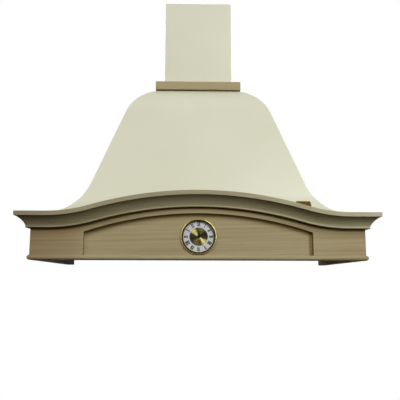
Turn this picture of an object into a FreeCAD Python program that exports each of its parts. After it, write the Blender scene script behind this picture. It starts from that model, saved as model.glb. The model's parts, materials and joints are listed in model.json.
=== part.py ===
import FreeCAD, Part
import math
import os

# A wall hood: a wooden frame with an arched cornice and a set-in clock, a curved steel bell and a chimney.
# Millimetres. X runs to the right as seen from the room, Y towards the wall, Z up.
# Pieces are drawn with Z = 0 at the hood's bottom edge and Y = 0 on the wall. As they are written they drop
# by hang_height, so the origin ends on the wall, midway between the two hanging holes.

# Shared working values
overrun = 5.0                   # how far a cutter runs past what it cuts
seat_gap = 0.3                  # gap where a loose piece lies on its seat
running_gap = 0.05              # radial play of a shaft in its hole
slide_gap = 0.5                 # play of a cover or cassette in its place
moulded_corner = 2.5            # upright corners of small moulded housings
parallel_share = 0.999          # an edge runs along an axis when its direction agrees by this much

# Wooden frame
hood_width = 900.0              # over the bottom bead
hood_depth = 439.0              # wall to the face of the front board
board_thickness = 22.0
bead_height = 13.2
bead_projection = 5.0

# Cornice, by its profile
cornice_foot = 83.4             # underside of the flat ends
cornice_height = 42.1
cornice_projection = 35.5
lip_height = 5.5
lip_projection = 10.8
lip_turn = math.radians(46.0)   # where the cove leaves the round of the lip
cove_height = 25.8
cove_edge = 1.0                 # step between the cove and the top band
cove_sag = 3.8
edge_ease = 1.2

# Arch of the cornice and of the front board's top
arch_flat_start = 400.0
arch_inflection = 275.0
arch_rise = 57.0

# Milled panel on the front board
recess_half_width = 304.6
recess_side_height = 74.2
recess_crown_height = 124.8
recess_depth = 8.0
recess_cove = 12.0
recess_slices = 4

# Rails and blocks inside the wooden frame
rail_foot = 31.0
rail_height = 67.0
hang_height = 65.0
hang_spacing = 600.0
hang_hole_radius = 4.5
ledger_width = 18.0
ledger_end_gap = 32.0
rail_gap = 3.0
block_leg = 28.0
block_height = 46.0
block_foot = 50.0

# Bell, by the line of its side
bell_sheet = 1.2
bell_skirt_foot = 100.0
bell_foot = 124.7
bell_top = 545.2
bell_top_half_width = 131.0
bell_top_depth = 228.0
bell_flange = 15.0
shoulder_radius = 159.6
foot_angle = math.radians(11.2)
wall_angle = math.radians(69.45)
top_angle = math.radians(22.2)

# Top plate
top_plate_thickness = 1.5
top_plate_margin = 1.0
wall_tab_half_width = 95.0
wall_tab_height = 45.0
wall_tab_hole_radius = 3.5
wall_tab_hole_spacing = 160.0
wall_tab_hole_drop = 25.0

# Collar and chimney
collar_width = 27.6             # each wooden strip, from the chimney outwards
collar_height = 26.5
collar_ease = 1.5
chimney_half_width = 106.9
chimney_depth = 212.0
chimney_top = 853.0
chimney_sheet = 1.0
chimney_return = 15.0
chimney_bend = 2.5
bracket_thickness = 2.0
bracket_height = 25.0
bracket_drop = 8.0
bracket_tab = 30.0
bracket_slot_spacing = 120.0
bracket_slot_radius = 3.0
bracket_slot_length = 20.0

# Blower
scroll_axis_y = -180.0
scroll_axis_z = 425.0
scroll_radius_front = 90.0
scroll_radius_foot = 105.0
scroll_radius_back = 120.0
scroll_half_width = 64.0
scroll_wall = 2.5
scroll_flange_side = 5.5
scroll_flange_end = 20.0
scroll_flange_thickness = 3.0
inlet_radius = 62.0
inlet_lip = 3.0
wheel_radius = 78.0
wheel_ring_width = 12.0
wheel_half_width = 56.5
wheel_ring_thickness = 2.5
wheel_disc_thickness = 2.0
blade_count = 30
blade_thickness = 1.2
blade_sweep = math.radians(9.0)
blade_sag = 1.6
blade_root = 1.0                # how deep a blade's ends sit in the rings
hub_radius = 11.0
hub_half_width = 14.0
shaft_radius = 4.0
shaft_in_motor = 40.0
motor_radius = 40.0
motor_length = 80.0
motor_gap = 4.0                 # motor nose to wheel hub
nose_radius = 14.0
nose_length = 6.0
bearing_radius = 11.0
mount_thickness = 2.0
mount_ring_width = 9.0
mount_arm_width = 14.0
mount_hub_radius = 30.0
mount_arms = 3

# Electrical pieces under the top plate
box_width = 33.0
box_length = 90.0
box_height = 34.0
box_start_y = -150.0
box_side = 74.0
capacitor_radius = 14.0
capacitor_length = 56.0
capacitor_x = 91.0
capacitor_y = -110.0
gland_x = -88.0
gland_y = -17.0
gland_nut_radius = 9.0
gland_sides = 6
gland_hex_height = 5.0
gland_dome_height = 10.0
gland_neck_radius = 6.0
gland_bore_radius = 3.5
gland_tail = 8.0

# Outlet spigot and its flaps
spigot_y = -112.5
spigot_radius = 74.5
spigot_wall = 2.0
spigot_height = 60.0
spigot_flange_half = 82.0
spigot_flange_thickness = 3.0
flap_axis_height = 9.0          # above the spigot's flange
flap_thickness = 1.2
flap_edge_gap = 1.0
flap_pin_radius = 1.5
flap_barrel_radius = 3.0
flap_notch = 3.6
flap_knuckles = 6
flap_knuckle_gap = 0.5
flap_ledge_width = 3.0
flap_ledge_height = 2.0

# Underside panel
panel_foot = 30.0
panel_sheet = 1.0
panel_flange_height = 15.0
panel_flange_gap = 34.0         # half of the gap behind the clock
control_set_back = 50.0         # from the back of the front board to the middle of lamps and buttons

# Grease filters
filter_width = 305.0
filter_thickness = 9.0
filter_front_gap = 49.0         # from the middle of the lamps to the filters
filter_back_gap = 50.0          # from the wall to the filters
filter_middle_bar = 16.0
filter_rim = 14.0
mesh_thickness = 5.0
mesh_groove = 1.5
tab_thickness = 1.5
tab_width = 20.0
tab_reach = 8.0
tab_spacing = 200.0
latch_travel = 6.0
latch_stem = 3.0
latch_stem_half = 10.0
latch_slot_play = 0.3
latch_stem_inset = 2.0
latch_engage = 5.0
latch_thickness = 1.5
latch_pull_half = 20.0
latch_pull_length = 20.0
latch_pull_thickness = 2.0
latch_pull_lip = 3.0

# Lamps
lamp_x = 250.0
lamp_hole_radius = 29.0
lamp_bezel_radius = 33.0
lamp_lens_radius = 24.0
lamp_bezel_thickness = 2.0
lamp_lens_thickness = 1.5
lamp_can_radius = 28.5
lamp_can_height = 34.0
lamp_can_wall = 1.0
lamp_bulb_radius = 12.0
lamp_bulb_height = 20.0

# Controls
fascia_half_width = 75.0
fascia_half_depth = 15.0
fascia_thickness = 2.0
button_names = ("light", "off", "low", "medium", "high")
button_pitch = 24.0
button_half = 7.7
button_play = 0.3
button_proud = 2.5
button_flange = 1.0
button_flange_thickness = 1.5
button_stem_half = 3.0
button_stem_height = 5.0
switch_half_width = 66.0
switch_half_depth = 11.0
switch_height = 21.0
switch_pocket_depth = 13.0

# Clock
clock_height = 63.0
clock_bezel_radius = 48.4
clock_bezel_inner = 41.0
clock_bezel_crest = 46.2
clock_bezel_rise = 6.0
clock_can_radius = 41.6
clock_can_depth = 12.5
clock_can_wall = 0.8
clock_rest_width = 2.9          # ledge in the can that the dial lies on
clock_pocket_depth = 13.0
clock_fit = 0.3
dial_radius = 40.6
dial_thickness = 0.8
dial_set_back = 2.2
glass_radius = 41.8
glass_thickness = 1.2
glass_lift = 0.9
centre_disc_radius = 24.5
centre_disc_thickness = 0.4
hand_thickness = 0.4
hour_hand_lift = 0.6
minute_hand_lift = 1.5
hour_hand_length = 17.0
hour_hand_width = 4.4
hour_hub_radius = 3.4
hour_pipe_radius = 2.5
minute_hand_length = 23.0
minute_hand_width = 3.4
minute_hub_radius = 2.6
arbor_radius = 1.5
arbor_depth = 7.0
hour_hand_angle = math.radians(4.75)
minute_hand_angle = math.radians(57.0)
movement_half = 27.5
movement_depth = 15.0
movement_corner = 2.4
bush_radius = 4.0
cell_radius = 7.1
cell_half_length = 25.2
cell_foot_gap = 1.0

# Worked out from the sizes above
V = FreeCAD.Vector
along_x = V(1, 0, 0)
along_y = V(0, 1, 0)
along_z = V(0, 0, 1)
frieze_half = hood_width / 2 - bead_projection
front_face = -hood_depth
front_back = front_face + board_thickness
inner_half = frieze_half - board_thickness
side_top = cornice_foot + cornice_height
rail_top = rail_foot + rail_height
control_y = front_back + control_set_back
filter_front_y = control_y + filter_front_gap
filter_back_y = -filter_back_gap
collar_foot = bell_top + top_plate_thickness
arch_angle = 2 * math.atan(arch_rise / arch_flat_start)
crown_radius = arch_inflection / math.sin(arch_angle)
foot_radius = (arch_flat_start - arch_inflection) / math.sin(arch_angle)
panel_top = panel_foot + panel_sheet
recess_floor = front_face + recess_depth


def line(start, end):
    return Part.LineSegment(start, end).toShape()


def arc(start, middle, end):
    return Part.Arc(start, middle, end).toShape()


def front_view(y):
    """Place a drawing seen from the room at depth y."""
    return lambda a, b: V(a, y, b)


def side_view(x):
    """Place a drawing seen along X; a is Y and b is Z."""
    return lambda a, b: V(x, a, b)


def plan_view(z):
    return lambda a, b: V(a, b, z)


def outline(place, start, *steps):
    """A closed face. A step is a point (a, b), or a pair (middle, end) for an arc."""
    edges = []
    here = start
    for step in steps:
        if isinstance(step[0], tuple):
            middle, end = step
            edges.append(arc(place(*here), place(*middle), place(*end)))
        else:
            end = step
            edges.append(line(place(*here), place(*end)))
        here = end
    if here != start:
        edges.append(line(place(*here), place(*start)))
    return Part.Face(Part.Wire(edges))


def block(x, y, z):
    """A box from three (low, high) pairs."""
    return Part.makeBox(x[1] - x[0], y[1] - y[0], z[1] - z[0], V(x[0], y[0], z[0]))


def rod(radius, start, end):
    way = end.sub(start)
    return Part.makeCylinder(radius, way.Length, start, way)


def upright(radius, x, y, low, high):
    return rod(radius, V(x, y, low), V(x, y, high))


def tube(outer, inner, start, end):
    way = end.sub(start).normalize().multiply(overrun)
    return rod(outer, start, end).cut(rod(inner, start.sub(way), end.add(way)))


def mirrored(shape):
    return shape.mirror(V(0, 0, 0), along_x)


def joined(shapes):
    return shapes[0].multiFuse(shapes[1:]).removeSplitter()


def plus_minus(half):
    return (-half, half)


def edges_along(shape, axis):
    """The straight edges of a shape that run along one axis."""
    straight = [e for e in shape.Edges if isinstance(e.Curve, Part.Line)]
    return [e for e in straight if abs(e.tangentAt(e.FirstParameter).dot(axis)) > parallel_share]


def write(node, *solids):
    shape = Part.makeCompound([s for solid in solids for s in solid.Solids])
    shape.translate(V(0, 0, -hang_height))
    if not shape.isValid() or not shape.Solids:
        raise RuntimeError(node + " is not a valid solid")
    shape.exportStep("parts/" + node + ".step")
    print(node, len(shape.Solids), round(shape.Volume))


def arch_edges(reach, foot, lift, y):
    """The arch from left to right as tangent lines and arcs, raised square to itself by lift."""
    crown_z = foot + arch_rise - crown_radius
    turn = foot_radius - lift

    def foot_point(side, angle):
        across = arch_flat_start - turn * math.sin(angle)
        return V(side * across, y, foot + foot_radius - turn * math.cos(angle))

    crown = V(0, y, crown_z + crown_radius + lift)
    return [
        line(V(-reach, y, foot + lift), foot_point(-1, 0)),
        arc(foot_point(-1, 0), foot_point(-1, arch_angle / 2), foot_point(-1, arch_angle)),
        arc(foot_point(-1, arch_angle), crown, foot_point(1, arch_angle)),
        arc(foot_point(1, arch_angle), foot_point(1, arch_angle / 2), foot_point(1, 0)),
        line(foot_point(1, 0), V(reach, y, foot + lift)),
    ]


def cornice_profile(place):
    """Bullnose lip, cove and top band. The first coordinate is the projection, the second the height."""
    nose = lip_height / 2
    cove_start = lip_projection - nose * (1 - math.cos(lip_turn))
    cove_foot = nose * (1 + math.sin(lip_turn))
    cove_end = cornice_projection - cove_edge
    run = cove_end - cove_start
    chord = math.hypot(run, cove_height)
    middle = (
        (cove_start + cove_end) / 2 - cove_sag * cove_height / chord,
        cove_foot + cove_height / 2 + cove_sag * run / chord,
    )
    eased = edge_ease * (1 - math.sqrt(1 / 2))
    return outline(
        place,
        (0, 0),
        (lip_projection - nose, 0),
        ((lip_projection, nose), (cove_start, cove_foot)),
        (middle, (cove_end, cove_foot + cove_height)),
        (cornice_projection, cove_foot + cove_height),
        (cornice_projection, cornice_height - edge_ease),
        (
            (cornice_projection - eased, cornice_height - eased),
            (cornice_projection - edge_ease, cornice_height),
        ),
        (0, cornice_height),
    )


def bead_profile(place):
    return outline(place, (0, 0), ((bead_projection, bead_height / 2), (0, bead_height)))


def front_mitre(reach):
    """Everything in front of the front board, between the two mitre planes."""
    wide = frieze_half + reach
    plan = outline(
        plan_view(-overrun),
        (-frieze_half, front_face),
        (-wide, front_face - reach),
        (wide, front_face - reach),
        (frieze_half, front_face),
    )
    return plan.extrude(V(0, 0, chimney_top))


def side_mitre(reach):
    plan = outline(
        plan_view(-overrun),
        (frieze_half, front_face),
        (frieze_half + reach, front_face - reach),
        (frieze_half + reach, 0),
        (frieze_half, 0),
    )
    return plan.extrude(V(0, 0, chimney_top))


def cornice():
    reach = cornice_projection + overrun
    far = frieze_half + reach
    path = Part.Wire(arch_edges(far, cornice_foot, 0, front_face))
    profile = cornice_profile(lambda p, z: V(-far, front_face - p, cornice_foot + z))
    front = path.makePipeShell([profile.OuterWire], True, False)
    write("cornice_front", front.common(front_mitre(reach)))
    profile = cornice_profile(lambda p, z: V(frieze_half + p, front_face - reach, cornice_foot + z))
    side = profile.extrude(V(0, hood_depth + reach, 0)).common(side_mitre(reach))
    write("cornice_right", side)
    write("cornice_left", mirrored(side))


def bead():
    reach = bead_projection + overrun
    far = frieze_half + reach
    profile = bead_profile(lambda p, z: V(-far, front_face - p, z))
    write("bead_front", profile.extrude(V(2 * far, 0, 0)).common(front_mitre(reach)))
    profile = bead_profile(lambda p, z: V(frieze_half + p, front_face - reach, z))
    side = profile.extrude(V(0, hood_depth + reach, 0)).common(side_mitre(reach))
    write("bead_right", side)
    write("bead_left", mirrored(side))


def recess_wire(inset, y):
    """The milled panel's outline, drawn in by inset on its top and sides."""
    half = recess_half_width - inset
    rise = recess_crown_height - recess_side_height
    radius = (recess_half_width**2 + rise**2) / (2 * rise)
    centre_z = recess_crown_height - radius
    top_radius = radius - inset
    side_z = centre_z + math.sqrt(top_radius**2 - half**2)
    return outline(
        front_view(y),
        (-half, bead_height),
        (half, bead_height),
        (half, side_z),
        ((0, centre_z + top_radius), (-half, side_z)),
    ).OuterWire


def front_board():
    edges = arch_edges(frieze_half, cornice_foot, cornice_height, front_face)
    left, right = V(-frieze_half, front_face, 0), V(frieze_half, front_face, 0)
    edges.append(line(V(frieze_half, front_face, side_top), right))
    edges.append(line(right, left))
    edges.append(line(left, V(-frieze_half, front_face, side_top)))
    board = Part.Face(Part.Wire(edges)).extrude(V(0, board_thickness, 0))
    wires = [recess_wire(0, front_face - overrun)]
    for step in range(recess_slices + 1):
        angle = math.pi / 2 * step / recess_slices
        inset = recess_cove * (1 - math.cos(angle))
        wires.append(recess_wire(inset, front_face + recess_depth * math.sin(angle)))
    board = board.cut(Part.makeLoft(wires, True, True))
    pocket = rod(
        clock_can_radius + clock_fit,
        V(0, recess_floor - overrun, clock_height),
        V(0, recess_floor + clock_pocket_depth, clock_height),
    )
    hole = movement_half + clock_fit
    opening = block(
        plus_minus(hole), (recess_floor, front_back + overrun), (clock_height - hole, clock_height + hole)
    )
    write("front_board", board.cut(pocket).cut(opening))


def side_boards():
    side = block((inner_half, frieze_half), (front_back, 0), (0, side_top))
    write("side_board_right", side)
    write("side_board_left", mirrored(side))


def frame_rails():
    rail = block(plus_minus(inner_half), (-board_thickness, 0), (rail_foot, rail_top))
    for x in plus_minus(hang_spacing / 2):
        rail = rail.cut(
            rod(hang_hole_radius, V(x, -board_thickness - overrun, hang_height), V(x, overrun, hang_height))
        )
    write("rear_rail", rail)
    ledger = block(
        (inner_half - ledger_width, inner_half),
        (front_back + ledger_end_gap, -board_thickness - rail_gap),
        (panel_top, panel_top + ledger_width),
    )
    corners = [ledger, mirrored(ledger)]
    for corner_y, way in ((front_back, 1), (-board_thickness, -1)):
        wedge = outline(
            plan_view(block_foot),
            (inner_half, corner_y),
            (inner_half - block_leg, corner_y),
            (inner_half, corner_y + way * block_leg),
        ).extrude(V(0, 0, block_height))
        corners += [wedge, mirrored(wedge)]
    write("frame_blocks", *corners)


def bell_line(foot, top, angles, shoulder, inset):
    """Points up one side of the bell, drawn in by inset: flare arc, straight wall, shoulder arc."""
    low, steep, high = angles
    across = foot - top - shoulder * (math.sin(steep) - math.sin(high))
    up = bell_top - bell_foot - shoulder * (math.cos(high) - math.cos(steep))
    a11, a12 = math.sin(steep) - math.sin(low), math.cos(steep)
    a21, a22 = math.cos(low) - math.cos(steep), math.sin(steep)
    scale = a11 * a22 - a12 * a21
    flare = (across * a22 - a12 * up) / scale
    straight = (a11 * up - a21 * across) / scale
    flare_in, shoulder_in = flare + inset, shoulder - inset

    def on_flare(angle):
        a = foot - inset * math.sin(low) - flare_in * (math.sin(angle) - math.sin(low))
        return a, bell_foot - inset * math.cos(low) + flare_in * (math.cos(low) - math.cos(angle))

    start = math.asin(math.sin(low) + inset * (1 - math.sin(low)) / flare_in)
    wall_low = on_flare(steep)
    wall_high = (wall_low[0] - straight * math.cos(steep), wall_low[1] + straight * math.sin(steep))

    def on_shoulder(angle):
        a = wall_high[0] - shoulder_in * (math.sin(steep) - math.sin(angle))
        return a, wall_high[1] + shoulder_in * (math.cos(angle) - math.cos(steep))

    return [
        on_flare(start),
        on_flare((start + steep) / 2),
        wall_low,
        wall_high,
        on_shoulder((steep + high) / 2),
        on_shoulder(high),
    ]


def bell_half(place, foot, inset, points, bottom):
    start, flare_middle, wall_low, wall_high, shoulder_middle, top = [place(*p) for p in points]
    return [
        line(place(foot - inset, bottom), start),
        arc(start, flare_middle, wall_low),
        line(wall_low, wall_high),
        arc(wall_high, shoulder_middle, top),
    ]


side_foot, side_head = inner_half, bell_top_half_width
front_foot, front_head = -front_back, bell_top_depth
side_angles = (foot_angle, wall_angle, top_angle)
# The corner line of the bell is straight in plan, so the front's slopes follow from the side's.
plan_share = (front_foot - front_head) / (side_foot - side_head)
front_angles = tuple(math.atan(math.tan(angle) / plan_share) for angle in side_angles)
front_shoulder = (
    shoulder_radius
    * (math.cos(top_angle) - math.cos(wall_angle))
    / (math.cos(front_angles[2]) - math.cos(front_angles[1]))
)


def bell_side_face(inset, bottom, y):
    """The bell as seen from the room."""
    points = bell_line(side_foot, side_head, side_angles, shoulder_radius, inset)
    right = bell_half(front_view(y), side_foot, inset, points, bottom)
    left = bell_half(lambda a, b: V(-a, y, b), side_foot, inset, points, bottom)
    top_a, top_z = points[-1]
    edges = right + left
    edges.append(line(V(-top_a, y, top_z), V(top_a, y, top_z)))
    edges.append(line(V(inset - side_foot, y, bottom), V(side_foot - inset, y, bottom)))
    return Part.Face(Part.Wire(Part.__sortEdges__(edges)))


def bell_solid(inset, bottom, back):
    """All that the bell encloses, drawn in by inset, up to back."""
    depth = front_foot - inset + back
    from_room = bell_side_face(inset, bottom, inset - front_foot).extrude(V(0, depth, 0))
    points = bell_line(front_foot, front_head, front_angles, front_shoulder, inset)
    x = -side_foot - overrun
    edges = bell_half(lambda a, b: V(x, -a, b), front_foot, inset, points, bottom)
    top_a, top_z = points[-1]
    edges.append(line(V(x, -top_a, top_z), V(x, back, top_z)))
    edges.append(line(V(x, back, top_z), V(x, back, bottom)))
    edges.append(line(V(x, back, bottom), V(x, inset - front_foot, bottom)))
    face = Part.Face(Part.Wire(Part.__sortEdges__(edges)))
    from_side = face.extrude(V(2 * (side_foot + overrun), 0, 0))
    return from_room.common(from_side)


def bell():
    shell = bell_solid(0, bell_skirt_foot, 0)
    shell = shell.cut(bell_solid(bell_sheet, bell_skirt_foot - overrun, -bell_sheet))
    back = bell_side_face(bell_flange, bell_skirt_foot - overrun, -2 * bell_sheet)
    shell = shell.cut(back.extrude(V(0, 2 * bell_sheet + overrun, 0)))
    top = block(
        plus_minus(bell_top_half_width - bell_flange),
        (bell_flange - bell_top_depth, overrun),
        (bell_top - bell_flange, bell_top + overrun),
    )
    write("bell_shell", shell.cut(top))


def top_plate():
    half = bell_top_half_width - top_plate_margin
    plate = block(plus_minus(half), (top_plate_margin - bell_top_depth, 0), (bell_top, collar_foot))
    tab = block(
        plus_minus(wall_tab_half_width), (-top_plate_thickness, 0), (bell_top - wall_tab_height, collar_foot)
    )
    plate = joined([plate, tab])
    low, high = bell_top - overrun, collar_foot + overrun
    holes = [upright(spigot_radius - spigot_wall, 0, spigot_y, low, high)]
    holes.append(upright(gland_neck_radius + slide_gap, gland_x, gland_y, low, high))
    for x in plus_minus(wall_tab_hole_spacing / 2):
        z = bell_top - wall_tab_hole_drop
        holes.append(rod(wall_tab_hole_radius, V(x, -overrun, z), V(x, overrun, z)))
    for hole in holes:
        plate = plate.cut(hole)
    write("bell_top_plate", plate)


def collar():
    top = collar_foot + collar_height
    inner, depth = chimney_half_width, chimney_depth
    ease = collar_ease

    def ring(grow):
        """The collar's plan as a solid block that stands grow outside the chimney's faces."""
        return block(plus_minus(inner + grow), (-depth - grow, 0), (collar_foot, top))

    whole = ring(collar_width)
    eased = [
        edge
        for edge in whole.Edges
        if abs(edge.CenterOfMass.z - top) < ease and edge.CenterOfMass.y < -ease
    ]
    whole = whole.makeChamfer(ease, eased).cut(ring(0))
    past = collar_width + overrun
    wedge = outline(
        plan_view(collar_foot - overrun),
        (-inner, -depth),
        (-inner - past, -depth - past),
        (inner + past, -depth - past),
        (inner, -depth),
    ).extrude(V(0, 0, collar_height + 2 * overrun))
    write("collar_front", whole.common(wedge))
    right_half = block((0, inner + past), (-depth - past, overrun), (collar_foot, top))
    right = whole.cut(wedge).common(right_half)
    write("collar_right", right)
    write("collar_left", mirrored(right))


def channel(half, depth, back, foot, top):
    """A sheet channel open to the wall, with narrow returns along its back edges."""

    def body(inset, rear, low, high):
        solid = block(plus_minus(half - inset), (inset - depth, rear), (low, high))
        corners = [e for e in edges_along(solid, along_z) if e.CenterOfMass.y < -depth / 2]
        return solid.makeFillet(chimney_bend - inset, corners)

    cut_height = (foot - overrun, top + overrun)
    shell = body(0, back, foot, top).cut(body(chimney_sheet, back - chimney_sheet, *cut_height))
    gap = half - chimney_return
    return shell.cut(block(plus_minus(gap), (back - 2 * chimney_sheet, back + overrun), cut_height))


def chimney():
    write("chimney_lower", channel(chimney_half_width, chimney_depth, 0, collar_foot, chimney_top))
    step = chimney_sheet + slide_gap
    inner_half_width, inner_depth = chimney_half_width - step, chimney_depth - step
    back = -step
    upper_top = chimney_top - chimney_sheet
    write("chimney_upper", channel(inner_half_width, inner_depth, back, collar_foot, upper_top))
    half = inner_half_width - chimney_sheet
    bar_back = back - chimney_sheet
    high = upper_top - bracket_drop
    low = high - bracket_height
    bar = block(plus_minus(half), (bar_back - bracket_thickness, bar_back), (low, high))
    tab = block((half - bracket_thickness, half), (bar_back - bracket_tab, bar_back), (low, high))
    bracket = joined([bar, tab, mirrored(tab)])
    reach = bracket_slot_length / 2 - bracket_slot_radius
    middle = (low + high) / 2
    for x in plus_minus(bracket_slot_spacing / 2):
        for end in plus_minus(reach):
            start = V(x + end, bar_back - bracket_thickness - overrun, middle)
            bracket = bracket.cut(rod(bracket_slot_radius, start, V(x + end, bar_back + overrun, middle)))
        slot = block(
            (x - reach, x + reach),
            (bar_back - bracket_thickness - overrun, bar_back + overrun),
            (middle - bracket_slot_radius, middle + bracket_slot_radius),
        )
        bracket = bracket.cut(slot)
    write("chimney_bracket", bracket)


def scroll_face(offset, x, top):
    """The spiral in quarter arcs of growing radius, then straight up to the outlet."""
    y, z = scroll_axis_y, scroll_axis_z
    r1, r2, r3 = (r + offset for r in (scroll_radius_front, scroll_radius_foot, scroll_radius_back))
    grow_foot, grow_back = r2 - r1, r3 - r2
    y2, z3 = y + grow_foot, z + grow_back
    half = math.sqrt(1 / 2)
    tongue_z = z + math.sqrt(r1**2 - offset**2)
    turn = math.pi / 4 + math.asin(offset / r1) / 2
    return outline(
        side_view(x),
        (y - offset, top),
        (y - offset, tongue_z),
        ((y - r1 * math.sin(turn), z + r1 * math.cos(turn)), (y - r1, z)),
        ((y2 - r2 * half, z - r2 * half), (y2, z - r2)),
        ((y2 + r3 * half, z3 - r3 * half), (y2 + r3, z3)),
        (y2 + r3, top),
    )


def scroll():
    outer_half = scroll_half_width + scroll_wall
    outer = scroll_face(scroll_wall, 0, bell_top).extrude(V(outer_half, 0, 0))
    outlet_back = scroll_axis_y + scroll_radius_foot - scroll_radius_front + scroll_radius_back
    flange = block(
        (0, outer_half + scroll_flange_side),
        (scroll_axis_y - scroll_flange_end, outlet_back + scroll_flange_end),
        (bell_top - scroll_flange_thickness, bell_top),
    )
    lip = rod(
        inlet_radius + inlet_lip,
        V(0, scroll_axis_y, scroll_axis_z),
        V(outer_half + inlet_lip, scroll_axis_y, scroll_axis_z),
    )
    half = joined([outer, flange, lip])
    hollow = scroll_face(0, -overrun, bell_top + overrun)
    half = half.cut(hollow.extrude(V(scroll_half_width + overrun, 0, 0)))
    inlet = rod(
        inlet_radius,
        V(0, scroll_axis_y, scroll_axis_z),
        V(outer_half + inlet_lip + overrun, scroll_axis_y, scroll_axis_z),
    )
    half = half.cut(inlet)
    write("scroll_right", half)
    write("scroll_left", mirrored(half))


def axis_point(x):
    return V(x, scroll_axis_y, scroll_axis_z)


def impeller():
    ring_inner = wheel_radius - wheel_ring_width
    ring_start = wheel_half_width - wheel_ring_thickness
    parts = [rod(wheel_radius, axis_point(-wheel_disc_thickness / 2), axis_point(wheel_disc_thickness / 2))]
    parts.append(rod(hub_radius, axis_point(-hub_half_width), axis_point(hub_half_width)))
    ring = tube(wheel_radius, ring_inner, axis_point(ring_start), axis_point(wheel_half_width))
    parts += [ring, ring.mirror(V(0, 0, 0), along_x)]
    inner, outer = ring_inner + blade_root, wheel_radius - blade_root
    blade_half = ring_start + wheel_ring_thickness / 2
    bend = (inner + outer) / 2

    def spot(radius, angle, shift):
        """A point of the blade's section: the side of the blade by shift."""
        return (
            scroll_axis_y + radius * math.sin(angle) + shift * math.cos(angle),
            scroll_axis_z + radius * math.cos(angle) - shift * math.sin(angle),
        )

    for blade in range(blade_count):
        root = 2 * math.pi * blade / blade_count
        tip, middle = root + blade_sweep, root + blade_sweep / 2
        side = blade_thickness / 2
        face = outline(
            side_view(-blade_half),
            spot(inner, root, -side),
            spot(bend, middle, -side - blade_sag),
            spot(outer, tip, -side),
            spot(outer, tip, side),
            spot(bend, middle, side - blade_sag),
            spot(inner, root, side),
        )
        parts.append(face.extrude(V(2 * blade_half, 0, 0)))
    wheel = joined(parts)
    bore = shaft_radius + running_gap
    reach = hub_half_width + overrun
    write("impeller", wheel.cut(rod(bore, axis_point(-reach), axis_point(reach))))


def motor():
    nose = -hub_half_width - motor_gap
    shoulder = nose - nose_length
    back = shoulder - motor_length
    bore = shaft_radius + running_gap
    body = joined([
        rod(motor_radius, axis_point(back), axis_point(shoulder)),
        rod(nose_radius, axis_point(shoulder - overrun), axis_point(nose)),
    ])
    body = body.cut(rod(bearing_radius + running_gap, axis_point(shoulder), axis_point(nose + overrun)))
    shaft_end = shoulder - shaft_in_motor
    body = body.cut(rod(bore, axis_point(shaft_end - seat_gap), axis_point(nose)))
    write("motor", body)
    write("motor_bearing", tube(bearing_radius, bore, axis_point(shoulder), axis_point(nose)))
    write("motor_shaft", rod(shaft_radius, axis_point(shaft_end), axis_point(hub_half_width)))
    seat = -scroll_half_width - scroll_wall
    ring_inner = inlet_radius + inlet_lip + slide_gap
    ring_outer = ring_inner + mount_ring_width
    spider = back - mount_thickness
    parts = [tube(ring_outer, ring_inner, axis_point(seat - mount_thickness), axis_point(seat))]
    parts.append(rod(mount_hub_radius, axis_point(spider), axis_point(back)))
    half = mount_arm_width / 2
    for arm in range(mount_arms):
        spoke = block(
            (spider, back),
            (scroll_axis_y - half, scroll_axis_y + half),
            (scroll_axis_z + mount_hub_radius / 2, scroll_axis_z + ring_outer),
        )
        post = block(
            (spider, seat),
            (scroll_axis_y - half, scroll_axis_y + half),
            (scroll_axis_z + ring_outer - mount_thickness, scroll_axis_z + ring_outer),
        )
        bar = joined([spoke, post])
        bar.rotate(axis_point(0), along_x, 360 * arm / mount_arms)
        parts.append(bar)
    write("motor_mount", joined(parts))


def electrics():
    plate = bell_top
    box = block(
        (-box_side - box_width, -box_side),
        (box_start_y, box_start_y + box_length),
        (plate - box_height, plate),
    )
    write("terminal_box", box.makeFillet(moulded_corner, edges_along(box, along_z)))
    write("capacitor", upright(capacitor_radius, capacitor_x, capacitor_y, plate - capacitor_length, plate))
    top = collar_foot + gland_hex_height
    foot = plate - gland_tail

    def corner(side):
        turn = 2 * math.pi * side / gland_sides
        return V(gland_x + gland_nut_radius * math.cos(turn), gland_y + gland_nut_radius * math.sin(turn), 0)

    hexagon = Part.Face(Part.makePolygon([corner(side) for side in range(gland_sides + 1)]))
    hexagon.translate(V(0, 0, collar_foot))
    across_flats = gland_nut_radius * math.cos(math.pi / gland_sides)
    dome = Part.makeCone(across_flats, gland_neck_radius, gland_dome_height, V(gland_x, gland_y, top))
    neck = upright(gland_neck_radius, gland_x, gland_y, foot, top)
    gland = joined([hexagon.extrude(V(0, 0, gland_hex_height)), dome, neck])
    bore_top = top + gland_dome_height + overrun
    write("cable_gland", gland.cut(upright(gland_bore_radius, gland_x, gland_y, foot - overrun, bore_top)))


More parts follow.
